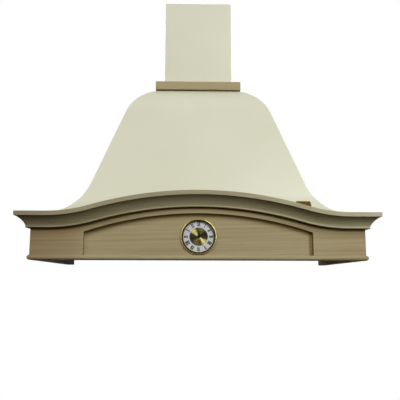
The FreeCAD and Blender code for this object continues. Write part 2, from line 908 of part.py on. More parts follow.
def spigot():
    base = collar_foot + spigot_flange_thickness
    top = base + spigot_height
    inner = spigot_radius - spigot_wall
    half = spigot_flange_half

    def at(x, y, z):
        return V(x, spigot_y + y, z)

    flange = block(plus_minus(half), (spigot_y - half, spigot_y + half), (collar_foot, base))
    body = joined([flange, rod(spigot_radius, at(0, 0, collar_foot), at(0, 0, top))])
    body = body.cut(rod(inner, at(0, 0, collar_foot - overrun), at(0, 0, top + overrun)))
    axis_z = base + flap_axis_height
    ledge_top = axis_z - flap_thickness / 2 - seat_gap
    ledge = tube(
        inner + spigot_wall / 2,
        inner - flap_ledge_width,
        at(0, 0, ledge_top - flap_ledge_height),
        at(0, 0, ledge_top),
    )
    pivot = flap_barrel_radius + slide_gap
    ledge = ledge.cut(
        block(plus_minus(spigot_radius), (spigot_y - pivot, spigot_y + pivot), (collar_foot, axis_z))
    )
    body = joined([body, ledge])
    hole = rod(flap_pin_radius, at(-spigot_radius, 0, axis_z), at(spigot_radius, 0, axis_z))
    write("outlet_spigot", body.cut(hole))
    write("flap_pin", rod(flap_pin_radius, at(-spigot_radius, 0, axis_z), at(spigot_radius, 0, axis_z)))
    flap_radius = inner - flap_edge_gap
    disc = rod(flap_radius, at(0, 0, axis_z - flap_thickness / 2), at(0, 0, axis_z + flap_thickness / 2))
    pitch = 2 * flap_radius * math.cos(math.asin(flap_barrel_radius / flap_radius)) / flap_knuckles
    first = -pitch * flap_knuckles / 2
    bore = rod(flap_pin_radius + running_gap, at(-spigot_radius, 0, axis_z), at(spigot_radius, 0, axis_z))
    for node, way in (("flap_front", -1), ("flap_rear", 1)):
        far = way * (spigot_radius + overrun)
        near = way * flap_notch
        low, high = sorted((near, far))
        leaf = disc.common(
            block(plus_minus(spigot_radius), (spigot_y + low, spigot_y + high), (collar_foot, top))
        )
        parts = [leaf]
        for knuckle in range(flap_knuckles):
            if (knuckle % 2 == 0) != (way > 0):
                continue
            x0 = first + knuckle * pitch + flap_knuckle_gap / 2
            x1 = first + (knuckle + 1) * pitch - flap_knuckle_gap / 2
            parts.append(rod(flap_barrel_radius, at(x0, 0, axis_z), at(x1, 0, axis_z)))
            low, high = sorted((0, way * (flap_notch + flap_thickness)))
            parts.append(
                block(
                    (x0, x1),
                    (spigot_y + low, spigot_y + high),
                    (axis_z - flap_thickness / 2, axis_z + flap_thickness / 2),
                ).common(disc)
            )
        write(node, joined(parts).cut(bore))


def filter_centres():
    offset = (filter_middle_bar + filter_width) / 2 + slide_gap * 2
    return (("left", -offset), ("right", offset))


def panel():
    half = inner_half - slide_gap
    front = front_back + slide_gap
    sheet = block(plus_minus(half), (front, -slide_gap), (panel_foot, panel_top))
    flange_height = (panel_foot, panel_foot + panel_flange_height)
    flange = block((panel_flange_gap, half), (front, front + panel_sheet), flange_height)
    sheet = joined([sheet, flange, mirrored(flange)])
    play = 2 * slide_gap
    low, high = panel_foot - overrun, panel_top + overrun
    for _, x in filter_centres():
        reach = filter_width / 2 + play
        deep = (filter_front_y - play, filter_back_y + play)
        sheet = sheet.cut(block((x - reach, x + reach), deep, (low, high)))
    for x in plus_minus(lamp_x):
        sheet = sheet.cut(upright(lamp_hole_radius, x, control_y, low, high))
    cut_depth = button_half + 2 * button_flange
    cut_half = (len(button_names) - 1) * button_pitch / 2 + cut_depth
    controls_cut = block(plus_minus(cut_half), (control_y - cut_depth, control_y + cut_depth), (low, high))
    write("base_panel", sheet.cut(controls_cut))


def filters():
    top = panel_top + seat_gap
    foot = top - filter_thickness
    stem_y = filter_front_y + latch_stem_inset
    slot = (stem_y - latch_slot_play, stem_y + latch_stem + latch_travel + latch_slot_play)
    for side, x in filter_centres():
        half = filter_width / 2
        frame = block((x - half, x + half), (filter_front_y, filter_back_y), (foot, top))
        inner = half - filter_rim
        opening = (filter_front_y + filter_rim, filter_back_y - filter_rim)
        frame = frame.cut(block((x - inner, x + inner), opening, (foot - overrun, top + overrun)))
        middle = (foot + top) / 2
        mesh = block(
            (x - inner - mesh_groove, x + inner + mesh_groove),
            (opening[0] - mesh_groove, opening[1] + mesh_groove),
            (middle - mesh_thickness / 2, middle + mesh_thickness / 2),
        )
        frame = frame.cut(mesh)
        tabs = []
        for place in plus_minus(tab_spacing / 2):
            tabs.append(
                block(
                    (x + place - tab_width / 2, x + place + tab_width / 2),
                    (filter_back_y - filter_rim, filter_back_y + tab_reach),
                    (top, top + tab_thickness),
                )
            )
        frame = joined([frame] + tabs)
        stem_half = latch_stem_half + latch_slot_play
        notch = block((x - stem_half, x + stem_half), slot, (foot - overrun, top + overrun))
        write("filter_frame_" + side, frame.cut(notch))
        write("filter_mesh_" + side, mesh.cut(notch))
        pull_top = foot - seat_gap
        pull_foot = pull_top - latch_pull_thickness
        tongue_foot = top + seat_gap
        stem = block(
            (x - latch_stem_half, x + latch_stem_half),
            (stem_y, stem_y + latch_stem),
            (pull_foot, tongue_foot + latch_thickness),
        )
        tongue_tip = filter_front_y - 2 * slide_gap - latch_engage
        tongue = block(
            (x - latch_stem_half, x + latch_stem_half),
            (tongue_tip, stem_y + latch_stem),
            (tongue_foot, tongue_foot + latch_thickness),
        )
        pull = block(
            (x - latch_pull_half, x + latch_pull_half),
            (stem_y, stem_y + latch_pull_length),
            (pull_foot, pull_top),
        )
        lip = block(
            (x - latch_pull_half, x + latch_pull_half),
            (stem_y + latch_pull_length - latch_pull_thickness, stem_y + latch_pull_length),
            (pull_foot - latch_pull_lip, pull_top),
        )
        write("filter_latch_" + side, joined([stem, tongue, pull, lip]))


def lamps():
    bezels, lenses, cans, bulbs = [], [], [], []
    low = panel_foot - lamp_bezel_thickness
    top = panel_foot + lamp_can_height
    roof = top - lamp_can_wall
    for x in plus_minus(lamp_x):
        ring = upright(lamp_bezel_radius, x, control_y, low, panel_foot)
        rim = [e for e in ring.Edges if e.BoundBox.ZMax < low + seat_gap]
        ring = ring.makeChamfer(lamp_bezel_thickness / 2, rim)
        bezels.append(ring.cut(upright(lamp_lens_radius, x, control_y, low - overrun, panel_foot + overrun)))
        lens_radius = lamp_lens_radius - running_gap
        lenses.append(upright(lens_radius, x, control_y, panel_foot - lamp_lens_thickness, panel_foot))
        can = upright(lamp_can_radius, x, control_y, panel_foot, top)
        inner = lamp_can_radius - lamp_can_wall
        cans.append(can.cut(upright(inner, x, control_y, panel_foot - overrun, roof)))
        bulb_foot = V(x, control_y, roof - lamp_bulb_height)
        bulbs.append(Part.makeCone(lamp_bulb_radius, lamp_bulb_radius / 2, lamp_bulb_height, bulb_foot))
    write("lamp_bezels", *bezels)
    write("lamp_lenses", *lenses)
    write("lamp_cans", *cans)
    write("lamp_bulbs", *bulbs)


def controls():
    low = panel_foot - fascia_thickness
    fascia = block(
        plus_minus(fascia_half_width),
        (control_y - fascia_half_depth, control_y + fascia_half_depth),
        (low, panel_foot),
    )
    fascia = fascia.makeFillet(moulded_corner, edges_along(fascia, along_z))
    switch = block(
        plus_minus(switch_half_width),
        (control_y - switch_half_depth, control_y + switch_half_depth),
        (panel_top, panel_top + switch_height),
    )
    hole = button_half + button_play
    flange = button_half + button_flange
    for index, name in enumerate(button_names):
        x = (index - (len(button_names) - 1) / 2) * button_pitch
        hole_height = (low - overrun, panel_foot + overrun)
        fascia = fascia.cut(block((x - hole, x + hole), (control_y - hole, control_y + hole), hole_height))
        pocket = flange + button_play
        switch = switch.cut(
            block(
                (x - pocket, x + pocket),
                (control_y - pocket, control_y + pocket),
                (panel_top - overrun, panel_top + switch_pocket_depth),
            )
        )
        cap = block(
            (x - button_half, x + button_half),
            (control_y - button_half, control_y + button_half),
            (low - button_proud, panel_foot + seat_gap + button_flange_thickness),
        )
        rim = [e for e in cap.Edges if e.BoundBox.ZMax < low - button_proud + seat_gap]
        cap = cap.makeFillet(button_flange, rim)
        stop = block(
            (x - flange, x + flange),
            (control_y - flange, control_y + flange),
            (panel_foot + seat_gap, panel_foot + seat_gap + button_flange_thickness),
        )
        stem_foot = panel_foot + seat_gap + button_flange_thickness
        stem = block(
            (x - button_stem_half, x + button_stem_half),
            (control_y - button_stem_half, control_y + button_stem_half),
            (stem_foot - button_flange_thickness, stem_foot + button_stem_height),
        )
        write("button_" + name, joined([cap, stop, stem]))
    write("control_fascia", fascia)
    write("switch_body", switch)


def clock_point(y, radius=0, angle=0):
    return V(radius * math.sin(angle), y, clock_height + radius * math.cos(angle))


def hand(length, width, hub, angle, front):
    """A tapering hand with a tail-free round hub, drawn at twelve and then turned."""
    y = front
    blade = outline(
        front_view(y),
        (-width / 2, clock_height),
        (-width / 2, clock_height + length / 2),
        (0, clock_height + length),
        (width / 2, clock_height + length / 2),
        (width / 2, clock_height),
    ).extrude(V(0, hand_thickness, 0))
    blade = blade.fuse(rod(hub, clock_point(y), clock_point(y + hand_thickness)))
    blade.rotate(clock_point(y), along_y, math.degrees(angle))
    return blade


def clock():
    seat = recess_floor
    crest = seat - clock_bezel_rise
    shoulder = seat - clock_bezel_rise / 2
    bulge = math.sqrt(1 / 2)
    outer_run = clock_bezel_radius - clock_bezel_crest
    glass_back = seat - glass_lift
    glass_front = glass_back - glass_thickness
    section = outline(
        lambda a, b: V(a, b, clock_height),
        (clock_bezel_inner, seat),
        (clock_bezel_radius, seat),
        (clock_bezel_radius, shoulder),
        (
            (clock_bezel_crest + outer_run * bulge, shoulder - (shoulder - crest) * bulge),
            (clock_bezel_crest, crest),
        ),
        (clock_bezel_inner, glass_front - glass_lift),
    )
    bezel = section.revolve(clock_point(0), along_y, 360)
    groove = rod(glass_radius + clock_fit, clock_point(glass_front), clock_point(glass_back))
    write("clock_bezel", bezel.cut(groove))
    write("clock_glass", rod(glass_radius, clock_point(glass_front), clock_point(glass_back)))
    can = rod(clock_can_radius, clock_point(seat), clock_point(seat + clock_can_depth))
    can = can.cut(
        rod(
            clock_can_radius - clock_can_wall,
            clock_point(seat - overrun),
            clock_point(seat + clock_can_depth - clock_can_wall),
        )
    )
    dial_front = seat + dial_set_back
    dial_back = dial_front + dial_thickness
    rest = tube(
        clock_can_radius - clock_can_wall / 2,
        clock_can_radius - clock_can_wall / 2 - clock_rest_width,
        clock_point(dial_back),
        clock_point(seat + clock_can_depth - clock_can_wall / 2),
    )
    window = movement_half + slide_gap
    opening = block(
        plus_minus(window),
        (dial_back - overrun, seat + clock_can_depth + overrun),
        (clock_height - window, clock_height + window),
    )
    write("clock_can", joined([can, rest]).cut(opening))
    bush = bush_radius + running_gap
    dial = tube(dial_radius, bush, clock_point(dial_front), clock_point(dial_back))
    write("clock_dial", dial)
    disc_front = dial_front - centre_disc_thickness
    disc = tube(centre_disc_radius, bush, clock_point(disc_front), clock_point(dial_front))
    write("clock_centre_disc", disc)
    movement = block(
        plus_minus(movement_half),
        (dial_back, dial_back + movement_depth),
        (clock_height - movement_half, clock_height + movement_half),
    )
    movement = movement.makeFillet(movement_corner, edges_along(movement, along_y))
    movement = movement.fuse(rod(bush_radius, clock_point(disc_front), clock_point(dial_back + overrun)))
    pipe_end = disc_front + arbor_depth
    well = rod(
        hour_pipe_radius + running_gap, clock_point(disc_front - overrun), clock_point(pipe_end + seat_gap)
    )
    movement = movement.cut(well)
    cell_z = clock_height - movement_half + cell_foot_gap + cell_radius + clock_fit
    cell_y = dial_back + movement_depth - cell_radius - clock_fit
    bay = cell_radius + clock_fit
    movement = movement.cut(
        block(
            plus_minus(cell_half_length + clock_fit),
            (cell_y - bay, dial_back + movement_depth + overrun),
            (cell_z - bay, cell_z + bay),
        )
    )
    write("clock_movement", movement)
    cell_ends = [V(x, cell_y, cell_z) for x in plus_minus(cell_half_length)]
    write("clock_cell", rod(cell_radius, *cell_ends))
    hour_front = disc_front - hour_hand_lift - hand_thickness
    hour = hand(hour_hand_length, hour_hand_width, hour_hub_radius, hour_hand_angle, hour_front)
    hour = hour.fuse(rod(hour_pipe_radius, clock_point(hour_front), clock_point(pipe_end)))
    hole = rod(arbor_radius + running_gap, clock_point(hour_front - overrun), clock_point(pipe_end + overrun))
    write("clock_hour_hand", hour.cut(hole))
    minute_front = disc_front - minute_hand_lift - hand_thickness
    minute = hand(minute_hand_length, minute_hand_width, minute_hub_radius, minute_hand_angle, minute_front)
    minute = minute.fuse(rod(arbor_radius, clock_point(minute_front), clock_point(pipe_end)))
    write("clock_minute_hand", minute)


os.makedirs("parts", exist_ok=True)
front_board()
side_boards()
frame_rails()
cornice()
bead()
bell()
top_plate()
collar()
chimney()
scroll()
impeller()
motor()
electrics()
spigot()
panel()
filters()
lamps()
controls()
clock()
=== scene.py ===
import bmesh
import bpy
import json
import math
from mathutils import Matrix, Vector
from mathutils.bvhtree import BVHTree

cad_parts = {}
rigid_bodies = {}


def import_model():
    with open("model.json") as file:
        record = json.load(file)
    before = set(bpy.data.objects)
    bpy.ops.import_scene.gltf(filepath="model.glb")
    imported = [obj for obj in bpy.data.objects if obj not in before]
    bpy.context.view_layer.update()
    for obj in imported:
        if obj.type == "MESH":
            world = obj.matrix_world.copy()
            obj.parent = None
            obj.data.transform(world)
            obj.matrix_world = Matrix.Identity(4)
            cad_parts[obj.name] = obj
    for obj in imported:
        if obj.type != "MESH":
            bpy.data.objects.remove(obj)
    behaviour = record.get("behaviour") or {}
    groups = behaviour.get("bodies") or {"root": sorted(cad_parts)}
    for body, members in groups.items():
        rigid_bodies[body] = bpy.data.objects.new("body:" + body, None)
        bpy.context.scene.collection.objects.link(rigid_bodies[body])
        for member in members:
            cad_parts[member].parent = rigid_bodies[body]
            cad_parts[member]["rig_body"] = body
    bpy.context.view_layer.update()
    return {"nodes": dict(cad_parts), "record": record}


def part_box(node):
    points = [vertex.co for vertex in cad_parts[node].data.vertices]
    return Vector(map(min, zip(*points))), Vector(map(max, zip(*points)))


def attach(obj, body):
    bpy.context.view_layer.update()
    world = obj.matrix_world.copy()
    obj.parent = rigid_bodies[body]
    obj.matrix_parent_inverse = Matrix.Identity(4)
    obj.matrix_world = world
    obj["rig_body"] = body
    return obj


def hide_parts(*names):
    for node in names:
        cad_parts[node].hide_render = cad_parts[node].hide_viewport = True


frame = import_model()
nodes = frame["nodes"]
slotOf = {part["node"]: part["material_slot"] for part in frame["record"]["subparts"]}
print("frame loaded:", len(nodes), "nodes")


# colours, nodes and finishes

def colour(hexText, alpha=1.0):
    # sRGB hex to the linear values that sockets take
    out = []
    for start in (1, 3, 5):
        value = int(hexText[start:start + 2], 16) / 255
        out.append(value / 12.92 if value <= 0.04045 else ((value + 0.055) / 1.055) ** 2.4)
    return (*out, alpha)


def addNode(tree, kind, inputs=None, stops=(), **settings):
    # inputs go by identifier, name or number, and take a socket to link or a value to set
    node = tree.nodes.new(kind)
    for key, value in settings.items():
        setattr(node, key, value)
    for key, value in (inputs or {}).items():
        socket = next((s for s in node.inputs if s.identifier == key), None) or node.inputs[key]
        if isinstance(value, bpy.types.NodeSocket):
            tree.links.new(value, socket)
        else:
            socket.default_value = value
    for index, (place, tone) in enumerate(stops):
        band = node.color_ramp.elements
        element = band[index] if index < len(band) else band.new(place)
        element.position = place
        element.color = colour(tone) if isinstance(tone, str) else (tone, tone, tone, 1)
    return node


def newFinish(name, **values):
    finish = bpy.data.materials.new(name)
    finish.use_nodes = True
    tree = finish.node_tree
    tree.nodes.clear()
    shader = addNode(tree, "ShaderNodeBsdfPrincipled", {key.replace("_", " "): v for key, v in values.items()})
    addNode(tree, "ShaderNodeOutputMaterial", {"Surface": shader.outputs["BSDF"]})
    return finish, tree, shader


def realPlace(tree, gap, length=None, shift=(0, 0, 0), turn=(0, 0, 0)):
    # Object coordinates are real metres here, because every piece sits at the origin. The gap is metres from one
    # mark of a pattern to the next, and the length is metres along x, where the marks are drawn out.
    scale = (1 / (length or gap), 1 / gap, 1 / gap)
    spot = addNode(tree, "ShaderNodeTexCoord").outputs["Object"]
    moved = addNode(tree, "ShaderNodeMapping", {"Vector": spot, "Location": shift, "Rotation": turn})
    return addNode(tree, "ShaderNodeMapping", {"Vector": moved.outputs["Vector"], "Scale": scale}).outputs["Vector"]


# gaps are metres between features across the grain, lengths along it
oakLook = {
    "roughness": 0.7, "gloss": 0.14, "shadedFaceGloss": 0.05, "tilt": math.radians(1.4), "wander": 0.15,
    "streaks": {"length": 0.55, "gap": 0.0065, "detail": 3.0, "rough": 0.55},
    "lines": {"length": 0.30, "gap": 0.0018, "detail": 4.0, "rough": 0.6, "depth": 0.55,
              "tones": ((0.34, 0.80), (0.60, 1.0))},
    "pores": {"length": 0.035, "gap": 0.0009, "detail": 2.0, "rough": 0.7, "depth": 0.35,
              "tones": ((0.30, 0.6), (0.46, 1.0))},
}

# metres: the recess's edge is one circle, the cornice's foot a circle between two hollow ones that end flat
paintedShadeLook = {
    "boardFace": -0.4392, "recessFloor": -0.4305, "corniceBack": -0.439, "projection": 0.0355, "coveTop": -0.033,
    "edgeRadius": 0.9421, "edgeCentre": -0.8823, "halfWidth": 0.3046, "sideSpread": 9.0, "cutOff": 500.0,
    "crownRadius": 0.9842, "crownCentre": -0.9088, "bendPlace": 0.275,
    "footRadius": 0.4474, "footCentre": 0.4658, "flatPlace": 0.4, "slopeFrom": 0.25, "widening": 1.6,
    # a stop's place is 0.1 at an edge and 0.045 more for each millimetre into the painted shade
    "start": 0.1, "gain": 45.0,
    "edgeTones": ((0.08, "#ffffff"), (0.1, "#8f8262"), (0.30, "#948767"), (0.46, "#c4bca6"),
                  (0.66, "#ece9e2"), (0.95, "#ffffff")),
    "endTones": ((0.08, "#ffffff"), (0.1, "#b5a98d"), (0.2, "#cdc1a8"), (0.5, "#d6ccb8"), (0.62, "#ffffff")),
    "footTones": ((0.03, "#ffffff"), (0.06, "#a69873"), (0.2, "#a69873"), (0.32, "#d9d3c4"),
                  (0.6, "#f2f0ec"), (0.95, "#ffffff")),
    # from the board's face, 0, to the cornice's front, 1
    "coveTones": ((0.29, "#ffffff"), (0.34, "#e0dbcb"), (0.6, "#d3ceb8"), (0.9, "#cdc8ae"),
                  (0.965, "#cdc8ae"), (0.985, "#ffffff")),
    # from x = -0.5 to x = 0.5
    "coveShare": ((0.02, 0.85), (0.25, 0.7), (0.5, 0.42), (0.75, 1.0)),
}

# each row names a value and says how it follows from the ones above it and from paintedShadeLook
paintedShadeSteps = (
    ("away", "ABSOLUTE", "x"),
    ("onBoard", "GREATER_THAN", "y", "boardFace"),
    ("inFront", "LESS_THAN", "y", "recessFloor"),
    ("inRecess", "MULTIPLY", "onBoard", "inFront"),
    # how deep a spot lies inside the recess's edge, and inside its right end
    ("rise", "SUBTRACT", "z", "edgeCentre"),
    ("ray", "LENGTH", "x", "rise"),
    ("under", "SUBTRACT", "edgeRadius", "ray"),
    ("fromSides", "SUBTRACT", "halfWidth", "away"),
    ("inside", "MULTIPLY", "fromSides", "sideSpread"),
    ("inside", "MINIMUM", "under", "inside"),
    ("edgeDepth", "MULTIPLY_ADD", "inside", "gain", "start"),
    ("rightHalf", "MINIMUM", "under", "x"),
    ("rightHalf", "MULTIPLY", "rightHalf", "cutOff"),
    ("atRight", "MINIMUM", "rightHalf", "fromSides"),
    ("endDepth", "MULTIPLY_ADD", "atRight", "gain", "start"),
    # how far below the cornice's foot it lies, under its crown or under the bend at each side
    ("rise", "SUBTRACT", "z", "crownCentre"),
    ("ray", "LENGTH", "x", "rise"),
    ("crown", "SUBTRACT", "crownRadius", "ray"),
    ("bent", "SUBTRACT", "flatPlace", "away"),
    ("bent", "MAXIMUM", "bent", 0.0),
    ("rise", "SUBTRACT", "z", "footCentre"),
    ("ray", "LENGTH", "bent", "rise"),
    ("foot", "SUBTRACT", "ray", "footRadius"),
    ("beyond", "GREATER_THAN", "away", "bendPlace"),
    ("change", "SUBTRACT", "foot", "crown"),
    ("below", "MULTIPLY_ADD", "beyond", "change", "crown"),
    # the painted shadow under the foot is wider out on the slopes of the arch
    ("narrow", "MINIMUM", "away", "slopeFrom"),
    ("narrow", "MULTIPLY", "narrow", "widening"),
    ("narrow", "SUBTRACT", 1.0, "narrow"),
    ("nearFoot", "MULTIPLY", "below", "narrow"),
    ("footDepth", "MULTIPLY_ADD", "nearFoot", "gain", "start"),
    # how far it stands out in the cove, and where along it
    ("out", "SUBTRACT", "corniceBack", "y"),
    ("out", "DIVIDE", "out", "projection"),
    ("underTop", "GREATER_THAN", "below", "coveTop"),
    ("inCove", "MULTIPLY", "underTop", "inFront"),
    ("along", "ADD", "x", 0.5),
)


def paintedCornerShade(tree, skin):
    # Painted shade in the wood's colour: along the recess's edge, more at its right end, which faces away from the
    # light, a painted shadow right under the cornice, and painted shade in the cornice's hollow, stronger towards
    # its ends.
    look = paintedShadeLook
    place = addNode(tree, "ShaderNodeSeparateXYZ", {0: addNode(tree, "ShaderNodeTexCoord").outputs["Object"]})
    values = {**look, "x": place.outputs[0], "y": place.outputs[1], "z": place.outputs[2]}
    for name, kind, *terms in paintedShadeSteps:
        inputs = {index: values.get(term, term) for index, term in enumerate(terms)}
        if kind == "LENGTH":   # how far a spot is from a circle's centre
            spot = addNode(tree, "ShaderNodeCombineXYZ", inputs).outputs[0]
            values[name] = addNode(tree, "ShaderNodeVectorMath", {0: spot}, operation=kind).outputs["Value"]
        else:
            values[name] = addNode(tree, "ShaderNodeMath", inputs, operation=kind).outputs[0]
    share = addNode(tree, "ShaderNodeValToRGB", {"Fac": values["along"]}, stops=look["coveShare"])
    # the cove's painted shade, weighted by place along the cornice
    values["film"] = addNode(tree, "ShaderNodeMath", {0: share.outputs["Color"], 1: values["inCove"]},
                             operation="MULTIPLY").outputs[0]
    for where, depth, tones in (("inRecess", "edgeDepth", "edgeTones"), ("inRecess", "endDepth", "endTones"),
                                ("inFront", "footDepth", "footTones"), ("film", "out", "coveTones")):
        tone = addNode(tree, "ShaderNodeValToRGB", {"Fac": values[depth]}, stops=look[tones])
        skin = addNode(tree, "ShaderNodeMix", {
            "Factor_Float": values[where], "A_Color": skin, "B_Color": tone.outputs["Color"]},
            data_type="RGBA", blend_type="MULTIPLY").outputs[2]
    return skin


def sawnOak(name, tones, alongDepth=False, shift=(0, 0, 0), alongTones=(), depthTones=()):
    # Quarter-sawn oak, sanded and left raw: dry and greyish, with straight fine streaks and short dark pores.
    look = oakLook
    gloss = look["shadedFaceGloss" if depthTones else "gloss"]   # the faces painted with shade shine less too
    finish, tree, shader = newFinish(name, Roughness=look["roughness"], Specular_IOR_Level=gloss)
    turn = (0, 0, math.pi / 2) if alongDepth else (0, look["tilt"], 0)
    grain = {}
    for key in ("streaks", "lines", "pores"):   # noise drawn out along the board
        mark = look[key]
        grain[key] = addNode(tree, "ShaderNodeTexNoise", {
            "Vector": realPlace(tree, mark["gap"], mark["length"], shift, turn), "Scale": 1.0,
            "Detail": mark["detail"], "Roughness": mark["rough"], "Distortion": look["wander"]}).outputs["Fac"]
    skin = addNode(tree, "ShaderNodeValToRGB", {"Fac": grain["streaks"]},
                   stops=((0.32, tones[2]), (0.5, tones[1]), (0.68, tones[0]))).outputs["Color"]
    for key in ("lines", "pores"):
        mark = look[key]
        tone = addNode(tree, "ShaderNodeValToRGB", {"Fac": grain[key]}, stops=mark["tones"]).outputs["Color"]
        skin = addNode(tree, "ShaderNodeMix", {"Factor_Float": mark["depth"], "A_Color": skin, "B_Color": tone},
                       data_type="RGBA", blend_type="MULTIPLY").outputs[2]
    # the pores, the last tone made, are sunk a little
    bump = addNode(tree, "ShaderNodeBump", {"Height": tone, "Strength": 0.2, "Distance": 0.0002})
    for axis, drift in ((0, alongTones), (1, depthTones)):
        if drift:   # the tone changes along x or y by the given stops: painted shade on the boards and inner faces, darker towards the left on the mouldings; a stop's place is metres from -0.5
            spot = addNode(tree, "ShaderNodeSeparateXYZ", {0: addNode(tree, "ShaderNodeTexCoord").outputs["Object"]})
            place = addNode(tree, "ShaderNodeMath", {0: spot.outputs[axis], 1: 0.5}, operation="ADD")
            tone = addNode(tree, "ShaderNodeValToRGB", {"Fac": place.outputs[0]}, stops=drift).outputs["Color"]
            skin = addNode(tree, "ShaderNodeMix", {"Factor_Float": 1.0, "A_Color": skin, "B_Color": tone},
                           data_type="RGBA", blend_type="MULTIPLY").outputs[2]
    # painted shade in the recess's corners, under the cornice and in its hollow
    if alongTones:
        skin = paintedCornerShade(tree, skin)
    tree.links.new(skin, shader.inputs["Base Color"])
    tree.links.new(bump.outputs["Normal"], shader.inputs["Normal"])
    return finish


# metres: the real peel is about 1 mm across
paintLook = {"cloud": 0.2, "peel": 0.001111, "peelStrength": 0.08, "peelDepth": 0.0002}


def powderCoat(name, tone, shade):
    # Powder coat baked on sheet steel: satin and even, with a fine orange peel that softens reflections.
    look = paintLook
    finish, tree, shader = newFinish(name, Roughness=0.4, Specular_IOR_Level=0.4)
    cloud = addNode(tree, "ShaderNodeTexNoise", {
        "Vector": realPlace(tree, look["cloud"]), "Scale": 1.0, "Detail": 2.0})
    body = addNode(tree, "ShaderNodeValToRGB", {"Fac": cloud.outputs["Fac"]}, stops=((0.3, shade), (0.7, tone)))
    tree.links.new(body.outputs["Color"], shader.inputs["Base Color"])
    peel = addNode(tree, "ShaderNodeTexNoise", {
        "Vector": realPlace(tree, look["peel"]), "Scale": 1.0, "Detail": 1.0})
    bump = addNode(tree, "ShaderNodeBump", {
        "Height": peel.outputs["Fac"], "Strength": look["peelStrength"], "Distance": look["peelDepth"]})
    tree.links.new(bump.outputs["Normal"], shader.inputs["Normal"])
    return finish


def zincSheet():
    # Hot-dip galvanised sheet: dull grey with spangle crystals of about 12 mm.
    finish, tree, shader = newFinish("galvanisedSheet", Metallic=1.0, Roughness=0.42)
    spangle = addNode(tree, "ShaderNodeTexVoronoi", {"Vector": realPlace(tree, 0.0125), "Scale": 1.0})
    grey = addNode(tree, "ShaderNodeSeparateColor", {"Color": spangle.outputs["Color"]}).outputs[0]
    body = addNode(tree, "ShaderNodeValToRGB", {"Fac": grey}, stops=((0.0, "#8e9293"), (1.0, "#b4b8b8")))
    haze = addNode(tree, "ShaderNodeValToRGB", {"Fac": grey}, stops=((0.0, 0.34), (1.0, 0.52)))
    tree.links.new(body.outputs["Color"], shader.inputs["Base Color"])
    tree.links.new(haze.outputs["Color"], shader.inputs["Roughness"])
    return finish


def brushedMetal(name, tone, shade, roughness, gap, length=None):
    # Belt-brushed sheet: hair lines about 0.5 mm apart, drawn 1.5 to 3 mm apart so that they show.
    finish, tree, shader = newFinish(name, Metallic=1.0, Roughness=roughness)
    lines = addNode(tree, "ShaderNodeTexNoise", {
        "Vector": realPlace(tree, gap, length), "Scale": 1.0, "Detail": 4.0})
    body = addNode(tree, "ShaderNodeValToRGB", {"Fac": lines.outputs["Fac"]}, stops=((0.3, shade), (0.7, tone)))
    haze = addNode(tree, "ShaderNodeValToRGB", {"Fac": lines.outputs["Fac"]},
                   stops=((0.3, roughness + 0.1), (0.7, roughness - 0.06)))
    bump = addNode(tree, "ShaderNodeBump", {"Height": lines.outputs["Fac"], "Strength": 0.1, "Distance": 0.0001})
    tree.links.new(body.outputs["Color"], shader.inputs["Base Color"])
    tree.links.new(haze.outputs["Color"], shader.inputs["Roughness"])
    tree.links.new(bump.outputs["Normal"], shader.inputs["Normal"])
    return finish


def polishedBrass(name, tone, shade, roughness):
    # Polished and lacquered brass: warm yellow, with a slight haze of handling marks.
    finish, tree, shader = newFinish(name, Metallic=1.0, Roughness=roughness)
    haze = addNode(tree, "ShaderNodeTexNoise", {
        "Vector": realPlace(tree, 0.00625), "Scale": 1.0, "Detail": 4.0})
    body = addNode(tree, "ShaderNodeValToRGB", {"Fac": haze.outputs["Fac"]}, stops=((0.35, shade), (0.65, tone)))
    dull = addNode(tree, "ShaderNodeValToRGB", {"Fac": haze.outputs["Fac"]},
                   stops=((0.3, roughness + 0.08), (0.7, roughness)))
    tree.links.new(body.outputs["Color"], shader.inputs["Base Color"])
    tree.links.new(dull.outputs["Color"], shader.inputs["Roughness"])
    return finish


def sunrayGold():
    # Gilt disc brushed outwards from its centre: the light breaks into bright and dark sectors.
    finish, tree, shader = newFinish("sunrayGold", Metallic=1.0, Roughness=0.34, Anisotropic=1.0)
    ray = addNode(tree, "ShaderNodeTangent", direction_type="UV_MAP", uv_map="polar")
    polar = addNode(tree, "ShaderNodeUVMap", uv_map="polar")
    # some 170 rays round the disc
    spread = addNode(tree, "ShaderNodeMapping", {"Vector": polar.outputs["UV"], "Scale": (170, 1.5, 1)})
    lines = addNode(tree, "ShaderNodeTexNoise", {"Vector": spread.outputs["Vector"], "Scale": 1.0, "Detail": 3.0})
    body = addNode(tree, "ShaderNodeValToRGB", {"Fac": lines.outputs["Fac"]},
                   stops=((0.3, "#978d52"), (0.7, "#b8ad70")))
    tree.links.new(ray.outputs["Tangent"], shader.inputs["Tangent"])
    tree.links.new(body.outputs["Color"], shader.inputs["Base Color"])
    return finish


def moulded(name, tone, roughness, grain=0.0007143, depth=0.00008):
    # Moulded plastic or sprayed paint: even colour with a fine grain, under a millimetre from spot to spot.
    finish, tree, shader = newFinish(name, Roughness=roughness)
    spots = addNode(tree, "ShaderNodeTexNoise", {
        "Vector": realPlace(tree, grain), "Scale": 1.0, "Detail": 2.0})
    dim = addNode(tree, "ShaderNodeValToRGB", {"Fac": spots.outputs["Fac"]}, stops=((0.3, 0.92), (0.7, 1.0)))
    body = addNode(tree, "ShaderNodeMix", {
        "Factor_Float": 0.6, "A_Color": colour(tone), "B_Color": dim.outputs["Color"]},
        data_type="RGBA", blend_type="MULTIPLY")
    bump = addNode(tree, "ShaderNodeBump", {"Height": spots.outputs["Fac"], "Strength": 0.2, "Distance": depth})
    tree.links.new(body.outputs[2], shader.inputs["Base Color"])
    tree.links.new(bump.outputs["Normal"], shader.inputs["Normal"])
    return finish


